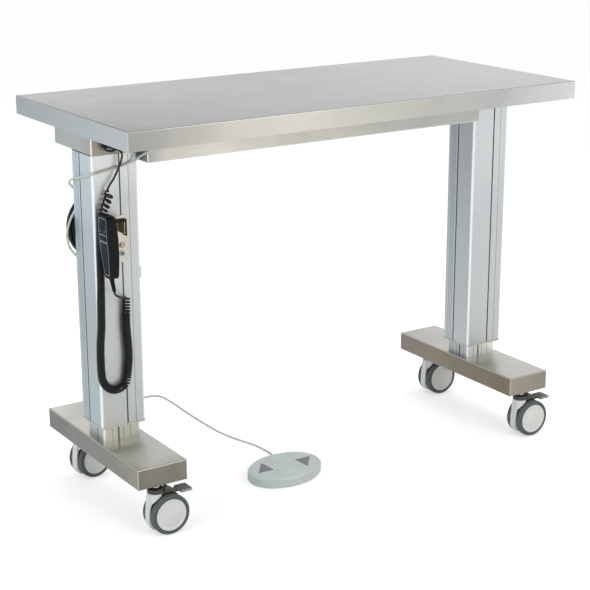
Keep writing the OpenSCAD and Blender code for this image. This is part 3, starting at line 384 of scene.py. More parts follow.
# Each column gets its own painted light and shade along its height, on its front and side
LEFT_COLUMN = profile_metal(
    "anodised_left_column",
    [(219, 188, 191, 189), (600, 196, 199, 197), (780, 196, 199, 197), (887, 228, 230, 227)],
    [(219, 172, 182, 184), (500, 167, 178, 181), (700, 180, 190, 194), (800, 192, 203, 207),
     (887, 197, 207, 210)], *OUTER_COLUMN)
RIGHT_COLUMN = profile_metal(
    "anodised_right_column",
    [(219, 190, 192, 190), (600, 196, 200, 201), (850, 215, 219, 220), (887, 217, 221, 222)],
    [(219, 185, 190, 190), (500, 176, 183, 183), (800, 166, 172, 172), (887, 166, 172, 172)],
    *OUTER_COLUMN)
LEFT_INNER = profile_metal("anodised_left_inner", [(179, 190, 191, 182), (219, 196, 197, 188)],
                           [(179, 176, 183, 182), (219, 178, 185, 184)], *INNER_COLUMN)
RIGHT_INNER = profile_metal("anodised_right_inner", [(179, 226, 227, 220), (219, 230, 231, 224)],
                            [(179, 170, 176, 175), (219, 172, 178, 177)], *INNER_COLUMN)
SCREW = bright_metal("screw_steel", (168, 156, 140), 0.18)
ZINC = bright_metal("bright_zinc", (205, 214, 222))
BUSH = moulded("bush_plastic", (206, 201, 184), 0.4)
CASTER_WHITE = moulded("caster_white", (231, 232, 227), 0.42)
TYRE = rubber("tyre_grey_rubber", (92, 96, 98))
COLLAR = moulded("collar_grey", (82, 84, 84), 0.6, shine=0.2)
PEDAL = moulded("pedal_dark_grey", (176, 178, 168), 0.5, 500, 0.0001, 0.35, shine=0.3)
ARM = moulded("pedal_arm", (104, 102, 94), 0.5, 500, 0.0001, 0.35, shine=0.2)
FORK = moulded("fork_olive", (104, 98, 80), 0.5, 500, 0.0001, 0.35, shine=0.2)
# The bright zinc domes get a pale tone that stands in for their reflection, a painted reflection
DOME_PAINTED_REFLECTION = moulded("stem_dome_painted_reflection", (236, 242, 248), 0.25)
BLACK = moulded("black_plastic", (38, 37, 36), 0.5, 700, 0.0001, 0.35, shine=0.15)
HAND_BODY = moulded("handset_body", (24, 23, 23), 0.5, 800, 0.0001, 0.35, shine=0.1)
HAND_FACE = moulded("handset_membrane", (28, 34, 42), 0.5, 1200, 0.00003, 0.15, shine=0.06)
HAND_LINE = moulded("handset_outline", (158, 171, 184), 0.4, 1200, 0.00003, 0.1)
SWITCH = moulded("switch_shell", (224, 233, 231), 0.5, 600, 0.0001, 0.3, sides=0.86)
SWITCH_MARK = moulded("switch_marks", (112, 114, 118), 0.5)
SWITCH_FIELD = moulded("switch_mark_field", (158, 164, 166), 0.5)
BLACK_CORD = rubber("black_cord", (18, 18, 20), 0.42, 0.3)
GREY_CORD = rubber("grey_cord", (222, 219, 211), 0.5)
BOARD = moulded("laminate_board", (186, 184, 176), 0.6, 120, 0.0002, 0.3, 0.88)
MOTOR = moulded("drive_housing", (52, 54, 58), 0.5, 500, 0.0001, 0.4)
CAP_BLUE = moulded("cap_pale_blue", (172, 205, 216), 0.35)


# Making pieces

def dress(piece, material, body, slot, *replaced):
    """Gives a finished piece its material and body, and the CAD nodes that it stands for; slot is not used.
    """
    piece.data.materials.clear()
    piece.data.materials.append(material)
    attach(piece, body)
    if replaced:
        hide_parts(*replaced)
    return piece


def smooth_mesh(name, bm):
    """A bmesh as a mesh that is smooth all over."""
    mesh = bpy.data.meshes.new(name)
    bm.to_mesh(mesh)
    bm.free()
    normals = mesh.attributes.get("custom_normal")
    if normals:
        mesh.attributes.remove(normals)
    mesh.shade_smooth()
    return mesh


def link_mesh(name, bm, smooth=35):
    """Puts a bmesh into the scene as a piece, smooth up to an angle in degrees."""
    bmesh.ops.remove_doubles(bm, verts=bm.verts, dist=0.000005)
    bmesh.ops.recalc_face_normals(bm, faces=bm.faces)
    mesh = smooth_mesh(name, bm)
    mesh.set_sharp_from_angle(angle=math.radians(smooth))
    return placed(name, mesh)


def lathe(bm, profile, frame_at, steps=64):
    """Turns a profile of (radius, height) in mm about the frame's Z axis."""
    verts = [bm.verts.new(frame_at @ mm(r, 0, h)) for r, h in profile]
    edges = [bm.edges.new(pair) for pair in zip(verts, verts[1:])]
    axis = (frame_at.to_3x3() @ Vector((0, 0, 1))).normalized()
    bmesh.ops.spin(bm, geom=verts + edges, cent=frame_at.translation, axis=axis, angle=2 * math.pi,
                   steps=steps, use_merge=True)


def turned_piece(name, profile, frame_at, steps, *looks):
    """A turned profile as a piece of its own, dressed in its looks."""
    bm = bmesh.new()
    lathe(bm, profile, frame_at, steps)
    return dress(link_mesh(name, bm, 40), *looks)


def rounded_edges(bm, verts, width):
    """Rounds every edge at these corners by a width in mm."""
    if width:
        edges = list({e for v in verts for e in v.link_edges})
        bmesh.ops.bevel(bm, geom=edges, offset=width * MM, offset_type="OFFSET", segments=2, profile=0.5,
                        affect="EDGES", material=-1, clamp_overlap=True)


def slab(bm, outline, depth, frame_at, edge=0.0):
    """A flat outline of (x, y) in mm, pushed along the frame's Z by depth mm, with softened edges."""
    verts = [bm.verts.new(frame_at @ mm(x, y, 0)) for x, y in outline]
    face = bm.faces.new(verts)
    pushed = bmesh.ops.extrude_face_region(bm, geom=[face])
    moved = [v for v in pushed["geom"] if isinstance(v, bmesh.types.BMVert)]
    bmesh.ops.translate(bm, verts=moved, vec=frame_at.to_3x3() @ mm(0, 0, depth))
    rounded_edges(bm, verts + moved, edge)


def box(bm, low, high, frame_at, edge=0.0):
    """A box between two corners in mm, with softened edges."""
    middle = (Vector(low) + Vector(high)) / 2
    size = Vector(high) - Vector(low)
    place = frame_at @ Matrix.Translation(middle * MM) @ Matrix.Diagonal((*(size * MM), 1))
    made = bmesh.ops.create_cube(bm, size=1.0, matrix=place)
    rounded_edges(bm, made["verts"], edge)


def ringed(bm, frame_at, loops):
    """A closed band through loops of one length: pairs of outline and height in mm."""
    rims = []
    for outline, height in loops:
        verts = [bm.verts.new(frame_at @ mm(x, y, height)) for x, y in outline]
        rims.append([bm.edges.new(pair) for pair in zip(verts, verts[1:] + verts[:1])])
    for a, b in zip(rims, rims[1:] + rims[:1]):
        bmesh.ops.bridge_loops(bm, edges=a + b)


def cut(bm, at, across, **cleared):
    """Cuts everything along a plane, given in metres, and closes what is left where a side is cleared."""
    bmesh.ops.bisect_plane(bm, geom=bm.verts[:] + bm.edges[:] + bm.faces[:], plane_co=at, plane_no=across,
                           **cleared)
    if cleared:
        bmesh.ops.holes_fill(bm, edges=[e for e in bm.edges if e.is_boundary])


def on_arc(centre, radius, angle):
    """The point in mm at a radius and an angle in degrees from a centre."""
    return (centre[0] + radius * math.cos(math.radians(angle)),
            centre[1] + radius * math.sin(math.radians(angle)))


def arc(centre, radius, start, end, count):
    """Points in mm on an arc, angles in degrees."""
    return [on_arc(centre, radius, start + (end - start) * i / count) for i in range(count + 1)]


def merged(node):
    """The CAD node's own shape with its triangles welded into whole faces."""
    bm = bmesh.new()
    bm.from_mesh(nodes[node].data)
    bmesh.ops.remove_doubles(bm, verts=bm.verts, dist=0.00001)
    bmesh.ops.dissolve_limit(bm, angle_limit=math.radians(0.5), verts=bm.verts, edges=bm.edges)
    return bm


def softened(name, bm, width, segments=3, angle=30, weigh=None):
    """A piece that is smooth where it is round, and has soft edges where width says so.

    weigh gives the share of the width that an edge gets."""
    if weigh:
        share = bm.edges.layers.float.new("bevel_weight_edge")
        for edge in bm.edges:
            if edge.calc_face_angle(0.0) > math.radians(angle):
                edge[share] = weigh(edge)
    mesh = smooth_mesh(name, bm)
    piece = placed(name, mesh)
    if not width:
        mesh.set_sharp_from_angle(angle=math.radians(angle))
        return piece
    bevel = piece.modifiers.new("soft_edges", "BEVEL")
    bevel.width = width * MM
    bevel.segments = segments
    bevel.limit_method = "WEIGHT" if weigh else "ANGLE"
    bevel.angle_limit = math.radians(angle)
    bevel.use_clamp_overlap = True
    even = piece.modifiers.new("even_shading", "WEIGHTED_NORMAL")
    even.keep_sharp = True
    return piece


def refined(node, material, body, slot, width=0.8, segments=3, angle=30, weigh=None):
    """The CAD node's own shape, dressed in its place."""
    piece = softened(node + "_dressed", merged(node), width, segments, angle, weigh)
    return dress(piece, material, body, slot, node)


def finish_node(node, material):
    """A CAD node that keeps its own mesh gets its finish."""
    nodes[node].data.materials.clear()
    nodes[node].data.materials.append(material)


# Cords

def smooth_route(points, step):
    """Points in metres on a smooth curve through a route in mm, no further apart than step mm."""
    route = [Vector(p) for p in points]
    last = len(route) - 1
    path = []
    for i in range(last):
        before = route[i - 1] if i else 2 * route[0] - route[1]
        after = route[i + 2] if i + 2 <= last else 2 * route[last] - route[last - 1]
        b, c = route[i], route[i + 1]
        parts = max(1, math.ceil((c - b).length / step))
        for k in range(parts):
            t = k / parts
            path.append(0.5 * (2 * b + (c - before) * t + (2 * before - 5 * b + 4 * c - after) * t * t
                               + (3 * b - before - 3 * c + after) * t ** 3))
    path.append(route[last])
    return [p * MM for p in path]


def tube(name, path, diameter, rounding=4):
    """A round tube along a path, as a mesh."""
    curve = bpy.data.curves.new(name, "CURVE")
    curve.dimensions = "3D"
    curve.bevel_depth = diameter / 2 * MM
    curve.bevel_resolution = rounding
    curve.use_fill_caps = True
    spline = curve.splines.new("POLY")
    spline.points.add(len(path) - 1)
    for point, place in zip(spline.points, path):
        point.co = (*place, 1)
    swept = placed(name + "_sweep", curve)
    mesh = bpy.data.meshes.new_from_object(swept.evaluated_get(bpy.context.evaluated_depsgraph_get()))
    bpy.data.objects.remove(swept)
    bm = bmesh.new()
    bm.from_mesh(mesh)
    bpy.data.meshes.remove(mesh)
    return link_mesh(name, bm, 50)


# Handset cord: from its gland to the curls, the middle line of the curls, and from them into the handset

HAND_ROUTE_TOP = [
    [-592, -76, 910], [-592, -84, 910], [-587, -91, 908], [-574, -92, 903], [-563, -89, 896],
    [-557, -85, 886], [-560, -82, 868], [-568, -80, 850], [-577, -79, 833], [-588, -79, 819],
    [-595, -81.5, 810], [-595.8, -84.3, 806.6], [-594.9, -83.2, 805], [-594.7, -80.5, 804.9],
]
CURLS_Y = -77
HAND_ROUTE_CURLS = [(x, CURLS_Y, z) for x, z in (
    (-597, 803), (-592, 797), (-596, 784), (-601, 772), (-605, 761), (-611, 744), (-616, 715),
    (-619, 670), (-620, 590), (-622, 540), (-624, 475), (-628, 435), (-629, 384), (-627, 350),
    (-620, 333), (-610, 322), (-597, 316), (-584, 316), (-572, 321), (-562, 335), (-555, 384),
    (-555, 422), (-558, 470), (-557, 510), (-556, 541),
)]
HAND_ROUTE_END = [
    [-559, -79, 543], [-562, -89, 545.5], [-568, -96, 547.5], [-578, -102, 550.5],
    [-590, -109, 556], [-597.5, -112, 561], [-601.7, -112.5, 565.2], [-602.8, -112.5, 571.1],
]
CURL_WIRE = 5
# Along the curly stretch, in mm: the run from its start, and the curls' pitch, radius, shift along Y and lean
CURL_TABLE = [(0, 12, 8.6, -3.5, 5.0), (34, 12, 8.6, -3.5, 5.0), (52, 9, 7.2, -0.5, 2.0),
              (80, 5.3, 7.2, -0.5, 0.0), (215, 5.15, 7.2, -0.5, 0.0), (260, 5.15, 7.75, -1.2, 0.0),
              (455, 5.15, 7.75, -1.2, 0.0), (490, 6.3, 7.75, -1.2, 0.0), (555, 6.3, 7.75, -1.2, 0.0),
              (590, 5.15, 7.75, -1.2, 0.0), (700, 5.2, 7.75, -1.2, 0.0), (735, 7.6, 7.75, -1.2, 0.0),
              (900, 7.6, 7.75, -1.2, 0.0)]
CURL_RINGS = 14


def curl_at(run):
    """Pitch, radius, shift and lean of the curls at a distance along the curly stretch."""
    for before, after in zip(CURL_TABLE, CURL_TABLE[1:]):
        if run <= after[0]:
            share = (run - before[0]) / (after[0] - before[0])
            return [p + (q - p) * share for p, q in zip(before[1:], after[1:])]
    return CURL_TABLE[-1][1:]


def curls(route):
    """A curly stretch wound round a route, closer or wider as the table says."""
    line = smooth_route(route, 1.5)
    runs = [0.0]
    for a, b in zip(line, line[1:]):
        runs.append(runs[-1] + (b - a).length / MM)
    turns = [0.0]
    for a, b in zip(runs, runs[1:]):
        turns.append(turns[-1] + (b - a) / curl_at((a + b) / 2)[0])
    whole = round(turns[-1])
    turns = [t * whole / turns[-1] for t in turns]
    path = []
    seat = 0
    for i in range(whole * CURL_RINGS + 1):
        turn = i / CURL_RINGS
        while seat < len(turns) - 2 and turns[seat + 1] < turn:
            seat += 1
        share = min(1.0, (turn - turns[seat]) / (turns[seat + 1] - turns[seat]))
        middle = line[seat].lerp(line[seat + 1], share)
        ahead = (line[min(seat + 2, len(line) - 1)] - line[max(seat - 1, 0)]).normalized()
        across = Vector((0, 1, 0))
        across = (across - across.dot(ahead) * ahead).normalized()
        grow = min(1.0, 0.35 + 1.3 * turn, 0.35 + 1.3 * (whole - turn))
        _, radius, shift, lean = curl_at(runs[seat])
        angle = 2 * math.pi * turn
        path.append(middle + mm(0, shift, 0) + grow * MM * (
            radius * math.cos(angle) * ahead.cross(across) + radius * math.sin(angle) * across
            - lean * math.sin(angle) * ahead))
    return path


hand_path = (smooth_route(HAND_ROUTE_TOP, 3)[:-1] + curls(HAND_ROUTE_CURLS)
             + smooth_route(HAND_ROUTE_END, 3)[1:])
hand_cord = tube("handset_cord_curls", hand_path, CURL_WIRE, 2)
hand_cord.data.materials.append(BLACK_CORD)
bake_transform(hand_cord)
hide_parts("handset_cord")


# Foot switch cord: round the left column and down behind it, and then over the floor into the switch

FOOT_ROUTE_TOP = [
    [-488, -110, 908], [-488, -116, 908], [-493, -120, 903], [-500, -115, 895], [-505, -104, 888],
    [-509, -90, 881], [-518, -78, 870], [-532, -72, 863], [-551, -71, 858], [-575, -71, 854],
    [-600, -71, 850], [-620, -71, 847], [-629, -68, 846], [-632, -59, 843], [-632, -24, 833],
    [-632, 10, 824], [-632, 30, 818], [-633, 42, 812], [-632, 49, 806], [-627, 51, 799],
    [-618, 48, 788], [-612, 45, 772], [-613, 45, 752], [-623, 45, 736], [-635, 45, 716],
    [-643, 45, 694], [-645, 45, 672], [-640, 45, 650], [-628, 45, 632], [-612, 45, 616],
    [-605, 45, 606], [-605, 45, 600],
]
FOOT_ROUTE_DROP = [
    [-605, 45, 590], [-604, 45, 500], [-602, 45, 410], [-598, 46, 340],
    [-589, 49, 286], [-573, 53, 248], [-550, 57, 226], [-523, 59, 217], [-495, 60, 216],
    [-468, 60, 219], [-443, 60, 222], [-420, 60, 221], [-395, 60, 213], [-366, 60, 192],
    [-337, 60, 167], [-305, 60, 140], [-270, 60, 112], [-235, 60, 85], [-184, 61, 53],
    [-145, 61, 32], [-115, 60, 16], [-99, 50, 6], [-94, 34, 3], [-94, 16, 3], [-98, 2, 4],
    [-107, -7, 8], [-114, -13, 10], [-116, -18, 10], [-116, -26, 10],
]
FOOT_CORD = 5.5
foot_path = smooth_route(FOOT_ROUTE_TOP + FOOT_ROUTE_DROP, 5)
foot_cord = tube("foot_switch_cord", foot_path, FOOT_CORD, 4)
foot_cord.data.materials.append(GREY_CORD)
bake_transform(foot_cord)
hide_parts("foot_cord_top", "foot_cord_drop")


# Mains cord: down from its gland into a coil on a hook, and out of it to the plug

MAINS = 8
COIL_AT = Vector((-552, 53.5, 692))
COIL_RADIUS = 86.5
COIL_TURNS = 2.75
COIL_CLIMB = 0.5
COIL_STEP = 8.6
MAINS_EXIT = Vector((-465.5, 53.5, 848))


def mains_route():
    """Down into the coil, round to its inmost turn and out again on the far side, and down to the plug."""
    rings = 36
    total = 2 * COIL_TURNS + COIL_CLIMB
    inmost = COIL_TURNS + COIL_CLIMB / 2
    start = COIL_AT + Vector((COIL_RADIUS, 0, 8))
    path = [MAINS_EXIT.lerp(start, i / 10) for i in range(11)]
    for i in range(round(rings * total) + 1):
        turn = i / rings
        radius = COIL_RADIUS - COIL_STEP * min(turn, inmost) + COIL_STEP * max(0, turn - inmost)
        climb = min(1.0, max(0.0, turn - COIL_TURNS) / COIL_CLIMB)
        angle = -2 * math.pi * turn
        path.append(COIL_AT + Vector((radius * math.cos(angle), COIL_STEP * climb, radius * math.sin(angle))))
    end = path[-1]
    path += [end + Vector(p) for p in ((0, 0, -30), (0, 0, -62), (-1, 0, -84), (-1, 0, -92))]
    return path


mains_path = [p * MM for p in mains_route()]
mains_cord = tube("mains_cord", mains_path, MAINS, 4)
dress(mains_cord, BLACK_CORD, "tabletop", "black_cord", "mains_lead", "mains_coil")
plug = refined("mains_plug", BLACK, "tabletop", "black_plastic", 0.6)


# Light: a pale world, wide soft boxes and a pale floor

world = bpy.data.worlds.new("studio")
scene.world = world
sky = Nodes(world)
ground = sky.tree.nodes["Background"]
ground.inputs["Color"].default_value = paint(232, 236, 240)
ground.inputs["Strength"].default_value = 0.62
seen = sky.node("ShaderNodeBackground", {"Color": (1, 1, 1, 1), "Strength": 1.0})
rays = sky.node("ShaderNodeLightPath").outputs
either = sky.reckon("MAXIMUM", rays["Is Camera Ray"], rays["Is Glossy Ray"])
every = sky.reckon("MAXIMUM", either, rays["Is Transmission Ray"])
choice = sky.node("ShaderNodeMixShader", {"Fac": every, 1: ground.outputs[0], 2: seen.outputs[0]})
sky.show(choice, "World Output")


def soft_box(name, at, aim, size, power, colour):
    """A wide lamp that shines at a place and isn't seen itself."""
    lamp = bpy.data.lights.new(name, "AREA")
    lamp.shape = "RECTANGLE"
    lamp.size, lamp.size_y = size
    lamp.energy = power
    lamp.color = colour
    lit = placed(name, lamp)
    lit.location = at
    lit.rotation_euler = (Vector(aim) - Vector(at)).to_track_quat("-Z", "Y").to_euler()
    lit.visible_camera = False


soft_box("front_soft_box", (0.6, -4.2, 2.6), (0, 0, 0.6), (3.0, 2.0), 55, (1.0, 0.97, 0.92))
soft_box("left_soft_box", (-4.2, -0.6, 1.8), (0, 0, 0.5), (2.6, 2.2), 40, (0.90, 0.96, 1.0))
soft_box("top_soft_box", (0.8, 0.6, 3.6), (0, 0, 0.6), (2.6, 2.0), 35, (1.0, 1.0, 1.0))

floor_bm = bmesh.new()
bmesh.ops.create_grid(floor_bm, x_segments=1, y_segments=1, size=30)
floor = link_mesh("studio_floor", floor_bm)
floor.location = (0, 0, -0.001)
pale = Finish("pale_floor")
pale.set(Roughness=0.9)
pale.link(pale.ramp(pale.noise(3), [(0.0, paint(236, 236, 236)), (1.0, paint(240, 240, 240))]), "Base Color")
glow = pale.node("ShaderNodeEmission", {"Color": (1, 1, 1, 1), "Strength": 0.50})
rays = pale.node("ShaderNodeLightPath").outputs
either = pale.reckon("MAXIMUM", rays["Is Camera Ray"], rays["Is Glossy Ray"])
dark = pale.node("ShaderNodeEmission", {"Color": (0, 0, 0, 1), "Strength": 0.0})
shine = pale.node("ShaderNodeMixShader", {"Fac": either, 1: dark.outputs[0], 2: glow.outputs[0]})
total = pale.node("ShaderNodeAddShader", {0: pale.shader.outputs[0], 1: shine.outputs[0]})
pale.show(total, "Material Output")
floor.data.materials.append(pale.material)


# Sheet, columns and feet

for node, material in {
    "tabletop_core": BOARD, "column_bushes": BUSH, "left_spindle": ZINC, "right_spindle": ZINC,
    "left_spindle_nut": BUSH, "right_spindle_nut": BUSH,
}.items():
    finish_node(node, material)
for node, material, body, slot in (
    ("tabletop_sheet", STEEL_TOP, "tabletop", "stainless_steel"),
    ("cross_rail", STEEL_COVERS, "tabletop", "stainless_steel"),
    ("left_head_box", STEEL_COVERS, "tabletop", "stainless_steel"),
    ("right_head_box", STEEL_COVERS, "tabletop", "stainless_steel"),
    ("left_outer_column", LEFT_COLUMN, "tabletop", "anodised_aluminium"),
    ("right_outer_column", RIGHT_COLUMN, "tabletop", "anodised_aluminium"),
    ("left_inner_column", LEFT_INNER, "left_foot", "anodised_aluminium"),
    ("right_inner_column", RIGHT_INNER, "right_foot", "anodised_aluminium"),
    ("left_foot_beam", STEEL_LEFT_FOOT, "left_foot", "stainless_steel"),
    ("right_foot_beam", STEEL_RIGHT_FOOT, "right_foot", "stainless_steel"),
):
    refined(node, material, body, slot, 0, angle=20)

refined("control_box", BLACK, "tabletop", "black_plastic", 1.5)
refined("lift_motors", MOTOR, "tabletop", "dark_housing", 1.0)
refined("cable_hook", STEEL_BRACKET, "tabletop", "stainless_steel", 0.6)
refined("handset_bracket", STEEL_BRACKET, "tabletop", "stainless_steel", 0.4, 2)


# Motor cables, one at each end of the rail

MOTOR_ROUTE = [
    (-601, -66, 918), (-601, -74, 918), (-601, -81, 911), (-596, -83, 901), (-585, -82, 898),
    (-571, -81, 900), (-555, -80, 908), (-532, -81, 918), (-512, -83, 925), (-499, -83, 925),
]
MOTOR_CABLE = 5
for name, side, replaced in (("left_motor_cable", 1, ["motor_cables"]), ("right_motor_cable", -1, [])):
    cable = tube(name, smooth_route([(side * x, y, z) for x, y, z in MOTOR_ROUTE], 3), MOTOR_CABLE, 3)
    dress(cable, BLACK_CORD, "tabletop", "black_cord", *replaced)


# Casters, each in a frame with the swivel axis as Z and the wheels towards X

TRAIL = 28
AXLE_Z = 50
AXLE = (TRAIL, AXLE_Z)
# The body: where the white front plate ends, and half its width. Its flanks in front of the first x move
# back, at most to the second. The hollow at the wheels, a band about its radius, is deepened
NECK_REAR = 8
PLATE_HALF = 9.9
PLATE_FRONT = (-16, -15.2)
PLATE_BACK = 3
WHEEL_CLEAR = 51.5
CLEAR_BAND = 0.4
NECK_CLEAR = 2.2
# The guard between the wheels: angles about the axle with its outer radius there
GUARD_HALF = 10.35
GUARD_INNER = 43
GUARD = [(44, 47.6), (63, 47.8), (75, 53), (140, 53.4), (175, 47), (214, 47)]
GUARD_CORE = [(44, 46.5), (214, 46.5)]
BRAKED_CORE = [(104, 46.5), (214, 46.5)]
WHEEL_FACE = 11
# The pedal: half width of its arm and of the slot it works in, where it widens, its tread's near end, far
# end and half width, the heights of its grid and pan, and the grid's cells and ribs
ARM_HALF = 6.6
ARM_SLOT = 7.3
ARM_WIDENS = 51.5
TREAD = (60, 90, 18.5)
TREAD_HEIGHTS = (98, 102.6)
PAN_HEIGHTS = (96.4, 102.3)
TREAD_CELLS = 4
TREAD_RIB = 1.5
# Each corner: its swivel axis, the caster's turn in degrees, and the foot that holds it
CORNERS = {
    "front_left": (-580, -242, 0, "left_foot"),
    "back_left": (-580, 160, 10, "left_foot"),
    "front_right": (556, -242, 0, "right_foot"),
    "back_right": (556, 160, 0, "right_foot"),
}

TYRE_PROFILE = (
    [(39.6, 0.6)] + arc((46.4, 4.2), 3.6, -90, 0, 5) + [(50, 4.6), (49.6, 4.9), (49.6, 5.3), (50, 5.6),
     (50, 8.6), (49.6, 8.9), (49.6, 9.3), (50, 9.6), (50, 12)]
    + arc((45.6, 12), 4.4, 10, 90, 6)
    + [(45.2, 16.4), (45.0, 16.0), (44.6, 16.0), (44.4, 16.4), (43.0, 16.4), (42.8, 16.0), (42.4, 16.0),
       (42.2, 16.4), (40.2, 16.4), (39.6, 15.8), (39.6, 0.6)]
)
COLLAR_PROFILE = [(6.4, 106.6), (18.9, 106.6), (19.3, 107.2), (19.3, 116.9), (19.0, 117.2), (6.4, 117.2),
                  (6.4, 106.6)]
SEAL_PROFILE = [(6.4, 117.1), (19.2, 117.1), (19.2, 118.0), (18.6, 118.4), (15.6, 118.9), (8, 119.3),
                (6.4, 119.3), (6.4, 117.1)]
STEM_PROFILE = [(0, 101), (5.6, 101), (6, 101.5), (6, 119.9), (9.6, 120.2), (10.8, 121.4), (10.9, 125.4),
                (10.2, 127), (6, 127), (6, 144.5), (5.5, 145), (0, 145)]
CHEEK_OUTLINE = [(17.5, 104.6), (24, 105.6), (36, 103.4), (44, 98), (52, 89.6), (50, 84.5), (20, 92)]
ARM_OUTLINE = [(22.5, 98), (22.5, 111), (24.5, 116.5), (29, 117.6), (33, 115.6), (50, 104), (58, 99.4),
               (64, 99.4), (64, 96.2), (52, 96.2), (38, 95.6), (30, 93), (25, 93)]
HUB_PROFILE = [
    (0, 15.9), (30, 15.9), (30.3, 15.7), (30.7, 15.7), (31, 15.9), (34.6, 15.9), (35.3, 16.1), (35.8, 16.6),
    (36.2, 16.9), (36.8, 17.0), (38.3, 17.0), (39.0, 16.8), (39.45, 16.2), (39.45, 1.0), (38.6, 0.3),
    (16, 0.3), (15, 1.5), (9, 1.5), (8, 0.3), (5.3, 0.3), (5.3, 13.4), (0, 13.4),
]


def caster_frame(name):
    """The frame of one caster."""
    x, y, turn, _ = CORNERS[name]
    return moved_by(x, y, 0) @ turned_by(turn, "Z")


def wheel(name, letter):
    """One wheel: a grey tyre with rounded shoulders and fine rings, and a pale hub with a raised rim."""
    sign = -1 if letter == "a" else 1
    outward = caster_frame(name) @ moved_by(TRAIL, sign * WHEEL_FACE, AXLE_Z) @ turned_by(-sign * 90, "X")
    body = name + "_wheel_" + letter
    turned_piece(body + "_tyre", TYRE_PROFILE, outward, 96, TYRE, body, "tyre_rubber",
                 name + "_tyre_" + letter)
    turned_piece(body + "_hub", HUB_PROFILE, outward, 96, CASTER_WHITE, body, "caster_plastic",
                 name + "_hub_" + letter)


def body_half(name, front):
    """One side of the body, cut behind its neck: the white front plate, or the dark fork."""
    place = caster_frame(name)
    bm = merged(name + "_housing")
    cut(bm, place @ mm(NECK_REAR, 0, 0), place.to_3x3() @ Vector((1, 0, 0)), clear_outer=front,
        clear_inner=not front)
    if not front:
        return bm
    for vert in bm.verts:
        seen = place.inverted() @ vert.co / MM
        if abs(seen.y) < PLATE_HALF:
            continue
        from_axle = Vector((seen.x - TRAIL, 0, seen.z - AXLE_Z))
        if seen.x < PLATE_FRONT[0]:
            seen.x = min(seen.x + PLATE_BACK, PLATE_FRONT[1])
        elif abs(from_axle.length - WHEEL_CLEAR) < CLEAR_BAND:
            seen += from_axle.normalized() * NECK_CLEAR
        vert.co = place @ (seen * MM)
    return bm


def across(bm, place, outline, low, high, edge=0.4):
    """An outline seen from the caster's side, filled from one y to another."""
    at = place @ moved_by(0, high, 0) @ turned_by(90, "X")
    slab(bm, outline, high - low, at, edge)


def rim_between(inner, reaches):
    """A band round the axle whose outer radius changes with the angle: pairs of angle and radius."""
    outer = []
    for (a, r), (b, s) in zip(reaches, reaches[1:]):
        steps = max(1, round((b - a) / 4))
        outer += [on_arc(AXLE, r + (s - r) * i / steps, a + (b - a) * i / steps) for i in range(steps)]
    start, (end, last) = reaches[0][0], reaches[-1]
    return outer + [on_arc(AXLE, last, end)] + arc(AXLE, inner, end, start, 36)


def caster_body(name):
    """The white front plate, the fork behind it, collar, dust seal and the guard between the wheels."""
    place = caster_frame(name)
    body = name + "_caster"
    braked = name.startswith("front")
    plate = softened(name + "_front_plate", body_half(name, True), 1.2, 3)
    dress(plate, CASTER_WHITE, body, "caster_plastic", name + "_housing")
    fork = softened(name + "_fork", body_half(name, False), 0.8, 2)
    dress(fork, FORK, body, "dark_housing")
    turned_piece(name + "_collar_ring", COLLAR_PROFILE, place, 64, COLLAR, body, "dark_housing")
    turned_piece(name + "_dust_seal", SEAL_PROFILE, place, 64, BLACK, body, "black_plastic")
    bm = bmesh.new()
    for sign in (-1, 1):
        low, high = sorted((sign * ARM_SLOT, sign * GUARD_HALF))
        across(bm, place, rim_between(GUARD_INNER, GUARD), low, high)
    core = rim_between(GUARD_INNER, BRAKED_CORE if braked else GUARD_CORE)
    across(bm, place, core, -ARM_SLOT, ARM_SLOT, 0)
    dress(link_mesh(name + "_guard", bm, 30), BLACK, body, "black_plastic")
    if not braked:
        return
    bm = bmesh.new()
    for sign in (-1, 1):
        low, high = sorted((sign * ARM_SLOT, sign * (GUARD_HALF - 0.2)))
        across(bm, place, CHEEK_OUTLINE, low, high, 0.6)
    dress(link_mesh(name + "_fork_cheeks", bm, 30), FORK, body, "dark_housing")


def brake_pedal(name):
    """A broad arm that rises beside the collar and falls to a tread with a grid of recesses."""
    place = caster_frame(name)
    body = name + "_pedal"
    near, far, half = TREAD
    bm = bmesh.new()
    across(bm, place, ARM_OUTLINE, -ARM_HALF, ARM_HALF, 0.8)
    root = [(ARM_WIDENS, -ARM_HALF), (near + 1, -half + 0.2), (near + 1, half - 0.2), (ARM_WIDENS, ARM_HALF)]
    slab(bm, root, 2.4, place @ moved_by(0, 0, 100), 0.5)
    dress(link_mesh(name + "_pedal_arm", bm, 30), ARM, body, "black_plastic")
    bm = bmesh.new()
    low, high = TREAD_HEIGHTS
    for i in range(TREAD_CELLS + 1):
        x = near + (far - near - TREAD_RIB) * i / TREAD_CELLS
        box(bm, (x, -half, low), (x + TREAD_RIB, half, high), place, 0.2)
        y = -half + (2 * half - TREAD_RIB) * i / TREAD_CELLS
        box(bm, (near, y, low), (far, y + TREAD_RIB, high), place, 0.2)
    dress(link_mesh(name + "_pedal_lever", bm, 30), PEDAL, body, "black_plastic", name + "_brake_pedal")
    bm = bmesh.new()
    low, high = PAN_HEIGHTS
    box(bm, (near + 0.3, -half + 0.3, low), (far - 0.3, half - 0.3, high), place, 0.6)
    dress(link_mesh(name + "_pedal_pan", bm, 30), BLACK, body, "black_plastic")


for corner in CORNERS:
    caster_body(corner)
    wheel(corner, "a")
    wheel(corner, "b")
    if corner.startswith("front"):
        brake_pedal(corner)

